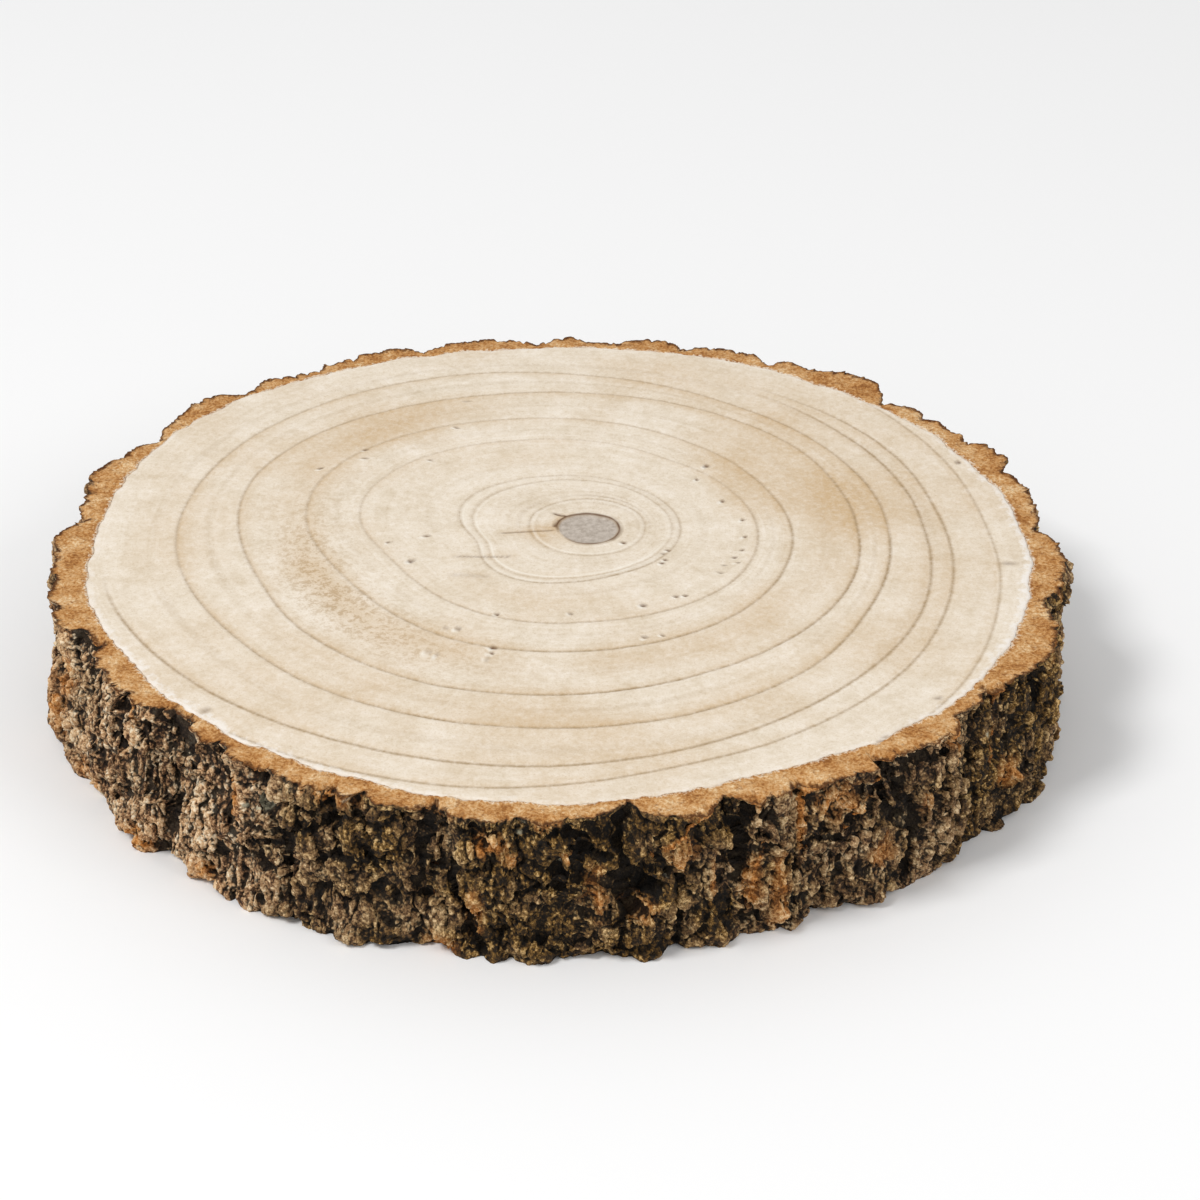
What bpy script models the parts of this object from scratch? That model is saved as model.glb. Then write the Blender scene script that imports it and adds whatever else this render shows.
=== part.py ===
"""A slice sawn across a tree trunk with its bark on: the wood, and the ring of bark that grew round it.

Metres, +Z up. The slice lies on its lower sawn face, and the origin is the middle of that face.
Directions are degrees anticlockwise from +X, and each list that says so is in millimetres.
"""

import bmesh
import bpy
import numpy as np

MM = 0.001

# Sizes of the slice
THICKNESS = 0.040
EDGE_RADIUS = 0.1161
EDGE_CENTRE = (0.0, 0.0025)
EDGE_OVAL = 0.0015
BARK_GAP = 0.0003

# Pith, a soft core that dries a little below the sawn faces
PITH_RADIUS = 0.0074
PITH_CENTRE = (0.0077, 0.0109)
PITH_DEPTH = 0.0007
PITH_BEVEL = 0.0006

# Growth rings, each nearly a circle. Millimetres: mean radius, centre x, centre y.
RINGS = (
    (15.0, 7.5, 11.0),
    (27.6, 1.7, 11.7),
    (49.0, 0.2, 11.8),
    (61.1, -2.4, 11.4),
    (78.9, -2.6, 10.0),
    (90.7, -6.3, 7.7),
    (102.2, -8.8, 3.4),
)
GROOVE_WIDTH = 0.0010
GROOVE_DEPTH = 0.0003

# Swells where the rings bend round an old bud: direction and half width in degrees, height in millimetres
SWELLS = ((158, 18, 3.0), (207, 20, -4.5))
SWELL_STARTS = 0.028

# Bark plates round the upper sawn edge.
# Degrees and millimetres: furrow, bark thickness there, crest, bark thickness there.
PLATES = (
    (3.6, 4.0, 12.6, 9.0),
    (18.1, 6.5, 22.7, 10.1),
    (26.6, 4.5, 32.1, 6.9),
    (34.9, 3.6, 37.4, 6.2),
    (42.0, 1.3, 48.1, 10.4),
    (53.7, 5.8, 55.9, 7.2),
    (60.1, 2.7, 66.4, 6.6),
    (73.2, 1.3, 75.5, 5.8),
    (81.4, 1.3, 84.4, 2.4),
    (86.3, 1.4, 88.8, 4.3),
    (93.6, 1.3, 101.3, 4.6),
    (108.6, 1.3, 113.5, 5.8),
    (115.9, 5.0, 119.7, 6.5),
    (123.8, 2.0, 126.1, 4.5),
    (127.8, 3.2, 131.4, 6.1),
    (135.5, 1.8, 140.6, 9.3),
    (152.0, 2.8, 154.8, 7.2),
    (157.8, 6.4, 162.3, 10.1),
    (167.4, 7.0, 170.4, 7.9),
    (173.4, 1.8, 179.4, 9.7),
    (187.9, 8.0, 193.9, 11.2),
    (203.8, 5.0, 211.7, 9.3),
    (215.9, 7.4, 218.1, 8.3),
    (222.8, 1.5, 229.9, 8.6),
    (232.4, 7.8, 235.1, 9.8),
    (237.1, 8.0, 241.7, 9.6),
    (245.4, 5.2, 246.9, 11.0),
    (248.7, 4.6, 251.7, 10.6),
    (256.7, 3.6, 262.5, 12.4),
    (265.7, 10.0, 268.9, 10.8),
    (271.2, 9.3, 273.4, 10.2),
    (277.4, 3.3, 283.2, 12.2),
    (288.0, 5.2, 292.1, 10.7),
    (296.8, 5.4, 304.2, 12.4),
    (307.4, 7.8, 315.0, 12.2),
    (318.5, 8.2, 322.9, 8.8),
    (326.3, 6.0, 336.2, 12.6),
    (346.8, 3.8, 356.4, 10.8),
)
PLATE_SHARPNESS = 0.55
THINNEST_BARK = 0.0013

# Bark just above the lower sawn edge. Degrees and millimetres: direction, bark thickness.
FOOT = (
    (0, 11.1), (4, 11.0), (9, 8.5), (17, 11.2), (24, 6.5), (33, 9.0), (41, 5.5), (45, 9.5),
    (52, 10.5), (57, 6.0), (66, 8.2), (72, 3.5), (77, 6.5), (84, 4.0), (91, 6.5), (96, 2.6),
    (104, 6.6), (109, 3.2), (116, 7.2), (124, 3.5), (131, 7.6), (136, 4.0), (144, 10.0), (151, 6.0),
    (158, 9.8), (165, 11.0), (172, 7.0), (177, 11.2), (183, 11.7), (187, 12.2), (191, 13.2),
    (196, 12.0), (200, 9.8), (204, 10.2), (208, 9.6), (213, 11.2), (219, 10.8), (222, 7.1),
    (226, 10.7), (229, 9.1), (233, 10.4), (238, 10.8), (243, 10.1), (248, 11.9), (253, 9.2),
    (256, 6.3), (260, 11.2), (264, 8.2), (267, 9.6), (272, 8.5), (277, 9.4), (280, 9.9), (283, 7.0),
    (287, 10.0), (291, 6.7), (293, 6.9), (296, 9.4), (298, 7.3), (300, 3.1), (302, 7.0),
    (306, 11.3), (310, 9.8), (315, 10.4), (319, 9.6), (322, 6.7), (326, 10.3), (330, 13.3),
    (335, 12.0), (342, 12.2), (345, 11.4), (352, 11.2), (360, 11.1),
)

# How far the furrows lean on their way down, in degrees: direction, drift at the foot
FURROW_DRIFT = (
    (0, -1.0), (12, 1.5), (50, -2.0), (85, 1.5), (120, -1.5), (160, 2.0), (200, -1.5), (224, -1.0),
    (245, 1.5), (259, 4.3), (268, 2.5), (278, 0.5), (296, -1.0), (311, 4.5), (326, 2.0),
    (346, -2.0), (360, -1.0),
)

# Crevices in the side. Degrees and millimetres: direction, height, direction, height, half width, depth.
CREVICES = (
    (240.5, 34, 246.0, 31, 1.6, 2.6),
    (276.0, 22, 280.0, 19, 3.2, 4.5),
    (306.5, 40, 302.5, 24, 1.8, 3.0),
    (306.5, 40, 312.5, 18, 2.2, 4.0),
    (221.0, 39, 224.5, 33, 3.0, 4.0),
    (331.0, 36, 329.0, 17, 1.8, 3.4),
    (289.5, 28, 291.0, 4, 1.6, 2.6),
    (266.0, 27, 272.0, 22, 1.4, 2.0),
    (205.5, 30, 211.5, 21, 1.8, 2.6),
    (234.0, 16, 240.0, 12, 1.4, 2.2),
    (190.5, 33, 194.5, 9, 1.6, 2.8),
    (345.0, 20, 352.0, 25, 1.6, 2.8),
    (15.0, 31, 20.5, 14, 1.8, 2.8),
    (47.0, 24, 53.0, 28, 1.6, 3.0),
    (64.0, 33, 66.5, 10, 1.6, 2.6),
    (99.0, 18, 105.0, 24, 1.6, 2.0),
    (115.0, 30, 118.5, 13, 1.6, 2.6),
    (139.5, 27, 146.0, 22, 1.8, 3.2),
    (161.0, 34, 164.0, 12, 1.8, 3.2),
)

# Corky blocks that the side has broken into
RELIEF_SEED = 5
BLOCK_WIDTH = 0.0085
BLOCK_HEIGHT = 0.0105
BLOCK_JITTER = 0.38
BLOCK_STEP = 0.0016
BLOCK_CROWN = 0.0010
JOINT_WIDTH = 0.0022
JOINT_DEPTH = 0.0014
SAW_EDGE = 0.0025

# The lower edge is broken back in chips
CHIP_HEIGHT = 0.0016
CHIP_DEPTHS = (0.0008, 0.0030)

# Fineness of the solids
WOOD_STEPS = 96
BARK_COLUMNS = 360
BARK_ROWS = 13

PALE_WOOD = (0.76, 0.66, 0.50, 1.0)
DARK_BARK = (0.11, 0.078, 0.045, 1.0)


def clear_scene():
    """Empties the scene."""
    for thing in list(bpy.data.objects):
        bpy.data.objects.remove(thing)


def new_collection(name):
    """A new collection in the scene."""
    collection = bpy.data.collections.new(name)
    bpy.context.scene.collection.children.link(collection)
    return collection


def finish(name, colour, roughness):
    """A plain material."""
    material = bpy.data.materials.new(name)
    material.use_nodes = True
    shader = material.node_tree.nodes["Principled BSDF"]
    shader.inputs["Base Color"].default_value = colour
    shader.inputs["Roughness"].default_value = roughness
    shader.inputs["Metallic"].default_value = 0.0
    return material


def points_of(mesh):
    """A mesh's points as an array, one row each."""
    points = np.empty(len(mesh.vertices) * 3)
    mesh.vertices.foreach_get("co", points)
    return points.reshape(-1, 3)


def move_points(mesh, points):
    """Puts each point of a mesh where a row of the array says."""
    mesh.vertices.foreach_set("co", points.ravel())
    mesh.update()


def wrapped(degrees):
    """An angle brought into -180 to 180."""
    return (degrees + 180) % 360 - 180


def edge_radius(degrees):
    """The wood's radius about EDGE_CENTRE: a circle drawn out a little along X."""
    return EDGE_RADIUS + EDGE_OVAL * np.cos(2 * np.radians(degrees))


def grown(nominal, degrees):
    """Where the tree grew a point of a nominal radius: about its ring's centre, swollen, with an oval edge."""
    rings = np.array(RINGS).T * MM
    radii = np.concatenate([[0, PITH_RADIUS], rings[0], [EDGE_RADIUS]])
    centres_x = np.concatenate([[PITH_CENTRE[0]] * 2, rings[1], [EDGE_CENTRE[0]]])
    centres_y = np.concatenate([[PITH_CENTRE[1]] * 2, rings[2], [EDGE_CENTRE[1]]])
    outward = (nominal / EDGE_RADIUS) ** 4
    swell = sum(h * MM * np.exp(-((wrapped(degrees - d) / w) ** 2)) for d, w, h in SWELLS)
    radius = nominal + np.minimum(1, nominal / SWELL_STARTS) * (1 - outward) * swell
    radius += outward * (edge_radius(degrees) - EDGE_RADIUS)
    x = np.interp(nominal, radii, centres_x) + radius * np.cos(np.radians(degrees))
    y = np.interp(nominal, radii, centres_y) + radius * np.sin(np.radians(degrees))
    return x, y


def wood_profile():
    """Half section from the pith out: dished pith, a groove at each ring, the edge, the flat lower face."""
    half = GROOVE_WIDTH / 2
    dish = [(0.0, -PITH_DEPTH), (PITH_RADIUS - PITH_BEVEL, -PITH_DEPTH), (PITH_RADIUS, 0.0)]
    points = [(r, THICKNESS + z) for r, z in dish]
    for ring, _, _ in RINGS:
        points.append((ring * MM - half, THICKNESS))
        points.append((ring * MM, THICKNESS - GROOVE_DEPTH))
        points.append((ring * MM + half, THICKNESS))
    points.append((EDGE_RADIUS, THICKNESS))
    points.append((EDGE_RADIUS, 0.0))
    points += [(r, -z) for r, z in reversed(dish)]
    return points


def make_wood(collection):
    """The wood: the half section turned by a Screw, then each ring moved to where the tree grew it."""
    profile = wood_profile()
    mesh = bpy.data.meshes.new("wood_profile")
    mesh.from_pydata([(r, 0.0, z) for r, z in profile], [(i, i + 1) for i in range(len(profile) - 1)], [])
    turned = bpy.data.objects.new("wood_profile", mesh)
    collection.objects.link(turned)
    screw = turned.modifiers.new("turn", "SCREW")
    screw.steps = WOOD_STEPS
    screw.render_steps = WOOD_STEPS
    screw.use_merge_vertices = True
    screw.merge_threshold = 0.00005
    bpy.context.view_layer.update()
    graph = bpy.context.evaluated_depsgraph_get()
    wood_mesh = bpy.data.meshes.new_from_object(turned.evaluated_get(graph))
    bpy.data.objects.remove(turned)
    wood_mesh.name = "wood"
    points = points_of(wood_mesh)
    nominal = np.hypot(points[:, 0], points[:, 1])
    degrees = np.degrees(np.arctan2(points[:, 1], points[:, 0]))
    points[:, 0], points[:, 1] = grown(nominal, degrees)
    move_points(wood_mesh, points)
    wood = bpy.data.objects.new("wood", wood_mesh)
    collection.objects.link(wood)
    return wood


def plate_thickness(degrees):
    """Bark thickness at the upper edge: steep out of each furrow, then rounded over the crest."""
    furrow, floor, crest, height = np.array(PLATES).T
    turned = furrow[0] + (degrees - furrow[0]) % 360
    number = np.searchsorted(furrow, turned, side="right") - 1
    following = (number + 1) % len(PLATES)
    end = np.where(following == 0, furrow[0] + 360, furrow[following])
    rising = turned < crest[number]
    flank = np.where(
        rising,
        (turned - furrow[number]) / (crest[number] - furrow[number]),
        (end - turned) / (end - crest[number]),
    )
    low = np.where(rising, floor[number], floor[following])
    return MM * (low + (height[number] - low) * np.sin(flank * np.pi / 2) ** PLATE_SHARPNESS)


def crevice_depth(degrees, height):
    """Depth of the crevices: V-shaped trenches along lines drawn on the unrolled side."""
    depth = np.zeros_like(height)
    arc = np.radians(1) * EDGE_RADIUS
    for start, low, end, high, half_width, deepest in CREVICES:
        along, up = wrapped(end - start) * arc, (high - low) * MM
        across, rise = wrapped(degrees - start) * arc, height - low * MM
        share = np.clip((across * along + rise * up) / (along**2 + up**2), 0, 1)
        away = np.hypot(across - share * along, rise - share * up)
        depth = np.maximum(depth, deepest * MM * (1 - away / (half_width * MM)))
    return depth


def block_relief(degrees, height):
    """Blocks round jittered points: each stands out by its own step, is crowned, and ends in a joint."""
    draw = np.random.default_rng(RELIEF_SEED)
    girth = 2 * np.pi * EDGE_RADIUS
    columns, rows = round(girth / BLOCK_WIDTH), round(THICKNESS / BLOCK_HEIGHT) + 1
    column, row = np.meshgrid(np.arange(columns), np.arange(rows))
    shift = draw.uniform(-BLOCK_JITTER, BLOCK_JITTER, (2, rows, columns))
    seed_across = (column + 0.5 * (row % 2) + shift[0]).ravel() * girth / columns
    seed_up = (row + shift[1]).ravel() * THICKNESS / (rows - 1)
    step = draw.uniform(-1, 1, rows * columns)
    across = (degrees % 360) / 360 * girth
    apart = (across[:, None] - seed_across + girth / 2) % girth - girth / 2
    away = np.hypot(apart / BLOCK_WIDTH, (height[:, None] - seed_up) / BLOCK_HEIGHT)
    order = np.argsort(away, axis=1)[:, :2]
    nearest, second = np.take_along_axis(away, order, axis=1).T
    joint = 1 - np.clip((second - nearest) * BLOCK_WIDTH / JOINT_WIDTH, 0, 1)
    return BLOCK_STEP * step[order[:, 0]] * (1 - joint) - BLOCK_CROWN * nearest**2 - JOINT_DEPTH * joint


def bark_thickness(degrees, height):
    """Bark thickness anywhere on the side: the plates blended into the foot below, with the relief."""
    depth = 1 - height / THICKNESS
    drift = np.interp(degrees % 360, *np.array(FURROW_DRIFT).T)
    foot = np.interp(degrees % 360, *np.array(FOOT).T) * MM
    thickness = (1 - depth) * plate_thickness(degrees - drift * depth) + depth * foot
    below_edge = np.clip((THICKNESS - height) / SAW_EDGE, 0, 1)
    thickness += below_edge * block_relief(degrees, height) - crevice_depth(degrees, height)
    ragged = 0.5 + 0.5 * np.sin(np.radians(degrees) * 23 + 2 * np.sin(np.radians(degrees) * 9))
    chip = CHIP_DEPTHS[0] + ragged * (CHIP_DEPTHS[1] - CHIP_DEPTHS[0])
    thickness -= chip * np.clip(1 - height / CHIP_HEIGHT, 0, 1)
    return np.maximum(THINNEST_BARK, thickness)


def spread_round_edge(mesh, thickness_at):
    """Moves each point of a round block to the wood's edge plus a thickness for its direction and height."""
    points = points_of(mesh)
    degrees = np.degrees(np.arctan2(points[:, 1], points[:, 0]))
    radius = edge_radius(degrees) + thickness_at(degrees, points[:, 2])
    points[:, 0] = EDGE_CENTRE[0] + radius * np.cos(np.radians(degrees))
    points[:, 1] = EDGE_CENTRE[1] + radius * np.sin(np.radians(degrees))
    move_points(mesh, points)


def round_block(name, segments, heights, collection):
    """A round block from the first height to the last, with a ring of points at each, as a mesh object."""
    low, high = heights[0], heights[-1]
    block = bmesh.new()
    bmesh.ops.create_cone(
        block, cap_ends=True, segments=segments, radius1=EDGE_RADIUS, radius2=EDGE_RADIUS, depth=high - low
    )
    bmesh.ops.translate(block, verts=block.verts, vec=(0, 0, (high + low) / 2))
    for height in heights[1:-1]:
        everything = block.verts[:] + block.edges[:] + block.faces[:]
        bmesh.ops.bisect_plane(block, geom=everything, plane_co=(0, 0, height), plane_no=(0, 0, 1))
    mesh = bpy.data.meshes.new(name)
    block.to_mesh(mesh)
    block.free()
    made = bpy.data.objects.new(name, mesh)
    collection.objects.link(made)
    return made


def make_bark(collection, cutters):
    """The bark: a round block spread to the relief of its side, with the wood's shape cut out of it."""
    heights = [0.0, CHIP_HEIGHT] + [THICKNESS * i / BARK_ROWS for i in range(1, BARK_ROWS)] + [THICKNESS]
    bark = round_block("bark", BARK_COLUMNS, heights, collection)
    spread_round_edge(bark.data, bark_thickness)
    cutter = round_block("wood_cutter", WOOD_STEPS, [-THICKNESS, 2 * THICKNESS], cutters)
    spread_round_edge(cutter.data, lambda degrees, height: BARK_GAP)
    cutter.hide_render = True
    cutter.display_type = "WIRE"
    cut = bark.modifiers.new("cut_wood", "BOOLEAN")
    cut.object = cutter
    cut.operation = "DIFFERENCE"
    cut.solver = "EXACT"
    return bark


def build():
    """Clears the scene and makes the slice."""
    clear_scene()
    slice_parts = new_collection("wood_slice")
    cutters = new_collection("cutters")
    wood = make_wood(slice_parts)
    wood.data.materials.append(finish("pale_wood", PALE_WOOD, 0.65))
    bark = make_bark(slice_parts, cutters)
    bark.data.materials.append(finish("dark_bark", DARK_BARK, 0.9))


build()
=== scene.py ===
"""Looks of the wood slice: pale ringed end grain in a ring of rough bark, on a pale floor.

Metres, +Z up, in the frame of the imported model. Directions are degrees anticlockwise from +X.
"""

import bpy
import numpy as np
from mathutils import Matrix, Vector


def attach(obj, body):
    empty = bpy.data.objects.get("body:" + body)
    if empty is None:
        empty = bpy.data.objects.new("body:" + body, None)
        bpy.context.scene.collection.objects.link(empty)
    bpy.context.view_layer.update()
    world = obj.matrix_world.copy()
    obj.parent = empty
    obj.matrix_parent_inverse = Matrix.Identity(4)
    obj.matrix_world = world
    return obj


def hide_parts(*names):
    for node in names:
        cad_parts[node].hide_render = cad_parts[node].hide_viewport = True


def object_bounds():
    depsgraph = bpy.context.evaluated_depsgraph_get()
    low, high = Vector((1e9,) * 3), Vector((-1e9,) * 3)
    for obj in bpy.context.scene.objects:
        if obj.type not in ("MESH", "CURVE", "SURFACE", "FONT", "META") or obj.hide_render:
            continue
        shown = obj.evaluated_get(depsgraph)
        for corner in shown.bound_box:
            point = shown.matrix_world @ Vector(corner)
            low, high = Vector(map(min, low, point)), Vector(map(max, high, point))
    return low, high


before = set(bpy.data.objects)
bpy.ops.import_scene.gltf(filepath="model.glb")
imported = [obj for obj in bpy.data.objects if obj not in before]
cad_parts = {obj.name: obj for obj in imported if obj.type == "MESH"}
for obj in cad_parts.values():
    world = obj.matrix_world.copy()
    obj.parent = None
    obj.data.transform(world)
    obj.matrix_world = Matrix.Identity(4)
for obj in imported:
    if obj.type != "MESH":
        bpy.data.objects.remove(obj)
CAD_BOX = [list(corner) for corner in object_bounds()]

MM = 0.001

# Sizes shared with the solids
THICKNESS = 0.040
EDGE_RADIUS = 0.1161
EDGE_CENTRE = (0.0, 0.0025)
EDGE_OVAL = 0.0015
PITH_CENTRE = (0.0077, 0.0109)

# Bark plates round the upper sawn edge, as in the solids.
# Degrees and millimetres: furrow, bark thickness there, crest, bark thickness there.
PLATES = (
    (3.6, 4, 12.6, 9), (18.1, 6.5, 22.7, 10.1), (26.6, 4.5, 32.1, 6.9), (34.9, 3.6, 37.4, 6.2),
    (42, 1.3, 48.1, 10.4), (53.7, 5.8, 55.9, 7.2), (60.1, 2.7, 66.4, 6.6), (73.2, 1.3, 75.5, 5.8),
    (81.4, 1.3, 84.4, 2.4), (86.3, 1.4, 88.8, 4.3), (93.6, 1.3, 101.3, 4.6),
    (108.6, 1.3, 113.5, 5.8), (115.9, 5, 119.7, 6.5), (123.8, 2, 126.1, 4.5),
    (127.8, 3.2, 131.4, 6.1), (135.5, 1.8, 140.6, 9.3), (152, 2.8, 154.8, 7.2),
    (157.8, 6.4, 162.3, 10.1), (167.4, 7, 170.4, 7.9), (173.4, 1.8, 179.4, 9.7),
    (187.9, 8, 193.9, 11.2), (203.8, 5, 211.7, 9.3), (215.9, 7.4, 218.1, 8.3),
    (222.8, 1.5, 229.9, 8.6), (232.4, 7.8, 235.1, 9.8), (237.1, 8, 241.7, 9.6),
    (245.4, 5.2, 246.9, 11), (248.7, 4.6, 251.7, 10.6), (256.7, 3.6, 262.5, 12.4),
    (265.7, 10, 268.9, 10.8), (271.2, 9.3, 273.4, 10.2), (277.4, 3.3, 283.2, 12.2),
    (288, 5.2, 292.1, 10.7), (296.8, 5.4, 304.2, 12.4), (307.4, 7.8, 315, 12.2),
    (318.5, 8.2, 322.9, 8.8), (326.3, 6, 336.2, 12.6), (346.8, 3.8, 356.4, 10.8),
)
PLATE_SHARPNESS = 0.55
THINNEST_BARK = 0.0013

# How far the border between wood and bark lies outside the solids' even one: degrees, millimetres
BORDER_SHIFT = (
    (0, 1.5), (14, 0.5), (30, 0), (53, -0.8), (75, -0.5), (98, -1.8), (113, -1), (125, 0.2),
    (137, 1.9), (150, 2.4), (161, 1.4), (173, -0.4), (184, -0.4), (190, 0.6), (199, 0),
    (212, 0.3), (228, 0.9), (240, 1.8), (250, 2.2), (262, 3.2), (268, 3.4), (278, 2.6), (285, 1.8),
    (293, 0), (297, 0.2), (304, 1), (312, 2.2), (318, 2.6), (330, 2.4), (346, 2),
)

# Bark just above the lower sawn edge. Degrees and millimetres: direction, bark thickness.
FOOT = (
    (0, 11.1), (4, 11), (9, 8.5), (17, 11.2), (24, 6.5), (33, 9), (41, 5.5), (45, 9.5),
    (52, 10.5), (57, 6), (66, 8.2), (72, 3.5), (77, 6.5), (84, 4), (91, 6.5), (96, 2.6),
    (104, 6.6), (109, 3.2), (116, 7.2), (124, 3.5), (131, 7.6), (136, 4), (144, 10), (151, 6),
    (158, 9.8), (165, 11), (172, 7), (177, 11.2), (183, 11.7), (187, 12.2), (191, 13.2),
    (196, 12), (200, 9.8), (204, 10.2), (208, 9.6), (213, 11.2), (219, 10.8), (222, 7.1),
    (226, 10.7), (229, 9.1), (233, 10.4), (238, 10.8), (243, 10.1), (248, 11.9), (253, 9.2),
    (256, 6.3), (260, 11.2), (264, 8.2), (267, 9.6), (272, 8.5), (277, 9.4), (280, 9.9), (283, 7),
    (287, 10), (291, 6.7), (293, 6.9), (296, 9.4), (298, 7.3), (300, 3.1), (302, 7),
    (306, 11.3), (310, 9.8), (315, 10.4), (319, 9.6), (322, 6.7), (326, 10.3), (330, 13.3),
    (335, 12), (342, 12.2), (345, 11.4), (352, 11.2),
)

# How far the furrows lean on their way down, in degrees: direction, drift at the foot
FURROW_DRIFT = (
    (0, -1), (12, 1.5), (50, -2), (85, 1.5), (120, -1.5), (160, 2), (200, -1.5), (224, -1),
    (245, 1.5), (259, 4.3), (268, 2.5), (278, 0.5), (296, -1), (311, 4.5), (326, 2),
    (346, -2),
)

# Crevices in the side. Degrees and millimetres: direction, height, direction, height, half width, depth.
CREVICES = (
    (240.5, 34, 246, 31, 1.6, 2.6), (276, 22, 280, 19, 3.2, 4.5),
    (306.5, 40, 302.5, 24, 1.8, 3), (306.5, 40, 312.5, 18, 2.2, 4),
    (221, 39, 224.5, 33, 3, 4), (331, 36, 329, 17, 1.8, 3.4),
    (289.5, 28, 291, 4, 1.6, 2.6), (266, 27, 272, 22, 1.4, 2),
    (205.5, 30, 211.5, 21, 1.8, 2.6), (234, 16, 240, 12, 1.4, 2.2),
    (190.5, 33, 194.5, 9, 1.6, 2.8), (345, 20, 352, 25, 1.6, 2.8),
    (15, 31, 20.5, 14, 1.8, 2.8), (47, 24, 53, 28, 1.6, 3), (64, 33, 66.5, 10, 1.6, 2.6),
    (99, 18, 105, 24, 1.6, 2), (115, 30, 118.5, 13, 1.6, 2.6),
    (139.5, 27, 146, 22, 1.8, 3.2), (161, 34, 164, 12, 1.8, 3.2),
)

# Corky blocks that the side has broken into, as in the solids
RELIEF_SEED = 5
BLOCK_WIDTH = 0.0085
BLOCK_HEIGHT = 0.0105
BLOCK_JITTER = 0.38
BLOCK_STEP = 0.0016
BLOCK_CROWN = 0.0010
JOINT_WIDTH = 0.0022
JOINT_DEPTH = 0.0014
SAW_EDGE = 0.0025
CHIP_HEIGHT = 0.0016
CHIP_DEPTHS = (0.0008, 0.0030)

# Growth rings as read from the picture, before the slice was brought to its real width.
# Degrees about the pith and millimetres: direction, radius.
READING_SCALE = 0.98667
PITH_RIM = ((0, 7.8), (45, 7.8), (90, 7.6), (150, 8), (180, 7.6), (225, 7.4), (270, 7.8), (315, 8))
FIRST_RING = (
    (0, 14.7), (30, 15.5), (60, 15.8), (90, 16), (150, 16), (180, 15), (225, 14.3), (270, 14),
    (330, 14.5),
)
TWIN_RING = (
    (0, 21.8), (40, 22.5), (90, 26), (120, 28.6), (145, 31), (160, 31.2), (172, 30.2), (182, 28.8),
    (192, 27.2), (200, 27), (215, 29.6), (230, 30), (250, 27.4), (270, 24.6), (300, 22.3), (330, 21.7),
)
SECOND_RING = (
    (0, 23.9), (30, 24.3), (60, 25.5), (90, 28.5), (110, 30.3), (125, 32.4), (140, 34.3), (150, 35.2),
    (160, 35.2), (170, 33.8), (180, 31.8), (187, 29.9), (193, 29.2), (200, 29.5), (208, 30.8),
    (216, 31.8), (225, 32.2), (235, 32), (245, 30.6), (257, 28.5), (270, 26.5), (290, 24.5),
    (310, 24), (335, 23.8),
)
THIRD_RING = (
    (0, 43.8), (30, 43), (60, 43.5), (90, 48.8), (110, 52), (130, 57), (145, 60), (160, 61),
    (170, 60.2), (180, 58), (190, 54.2), (200, 52), (212, 51.2), (240, 50.7), (255, 49.1),
    (270, 47.2), (290, 46), (320, 45.3), (340, 44.5),
)
FOURTH_RING = (
    (0, 52.6), (20, 51.7), (35, 52.3), (60, 55), (90, 61), (110, 65), (130, 70.5), (145, 74),
    (160, 75.4), (170, 74.2), (180, 72.3), (190, 69), (200, 66.5), (212, 65.1), (240, 64.8),
    (255, 63), (270, 61), (285, 59.3), (300, 57.7), (320, 55.5), (340, 53.5),
)
FIFTH_RING = (
    (0, 69.5), (20, 69.8), (40, 72), (60, 73.5), (90, 77), (110, 80.5), (130, 86), (145, 90.2),
    (160, 92.5), (170, 92), (180, 90), (190, 88), (200, 86.5), (212, 87.2), (230, 86.5),
    (245, 85.3), (260, 82.5), (275, 79.7), (290, 76.5), (310, 74), (330, 72.2), (345, 70.8),
)
SIXTH_RING = (
    (0, 77.4), (30, 77.7), (60, 80.5), (90, 88), (110, 94.5), (130, 99.8), (150, 103.7), (165, 105),
    (180, 106), (190, 105.5), (200, 104), (212, 102.2), (230, 101.7), (245, 99.7), (260, 97.3),
    (275, 94.9), (290, 91.7), (300, 89), (310, 86.5), (320, 83), (330, 80.3), (345, 78.5),
)

# The three outer rings, as above. They run out of the wood on the far left, where they are only followed
# round, and they show between the directions of OUTER_SHOWN.
SEVENTH_RING = (
    (0, 86.5), (20, 86.2), (40, 87), (60, 90), (90, 98), (120, 106), (150, 114), (180, 122),
    (193, 125.2), (200, 124.3), (210, 122.8), (220, 121.3), (240, 117.5), (260, 114.3), (270, 111.5),
    (280, 108), (290, 104.5), (300, 101), (310, 98), (320, 95.5), (330, 93.3), (345, 89.5),
)
EIGHTH_RING = (
    (0, 92), (10, 90.8), (30, 91.8), (57, 92.5), (70, 94.3), (78, 96), (100, 105), (120, 112),
    (150, 120), (180, 129), (200, 133), (220, 131), (240, 128), (258, 124.6), (265, 121.2),
    (270, 119), (280, 114), (290, 111.5), (300, 108.3), (310, 105.3), (320, 102.5), (330, 99),
    (345, 95.1),
)
NINTH_RING = (
    (0, 102.7), (10, 102), (28, 102.8), (40, 104.5), (55, 108), (80, 114), (110, 121),
    (150, 130), (200, 138), (250, 135), (290, 129), (300, 125), (318, 118),
    (325, 114.8), (332, 111.6), (340, 108.5), (350, 105.8),
)
OUTER_SHOWN = (190, 425)
MAIN_RINGS = (
    PITH_RIM, FIRST_RING, TWIN_RING, SECOND_RING, THIRD_RING, FOURTH_RING, FIFTH_RING, SIXTH_RING
)
OUTER_RINGS = {"seventh": SEVENTH_RING, "eighth": EIGHTH_RING, "ninth": NINTH_RING}

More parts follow.
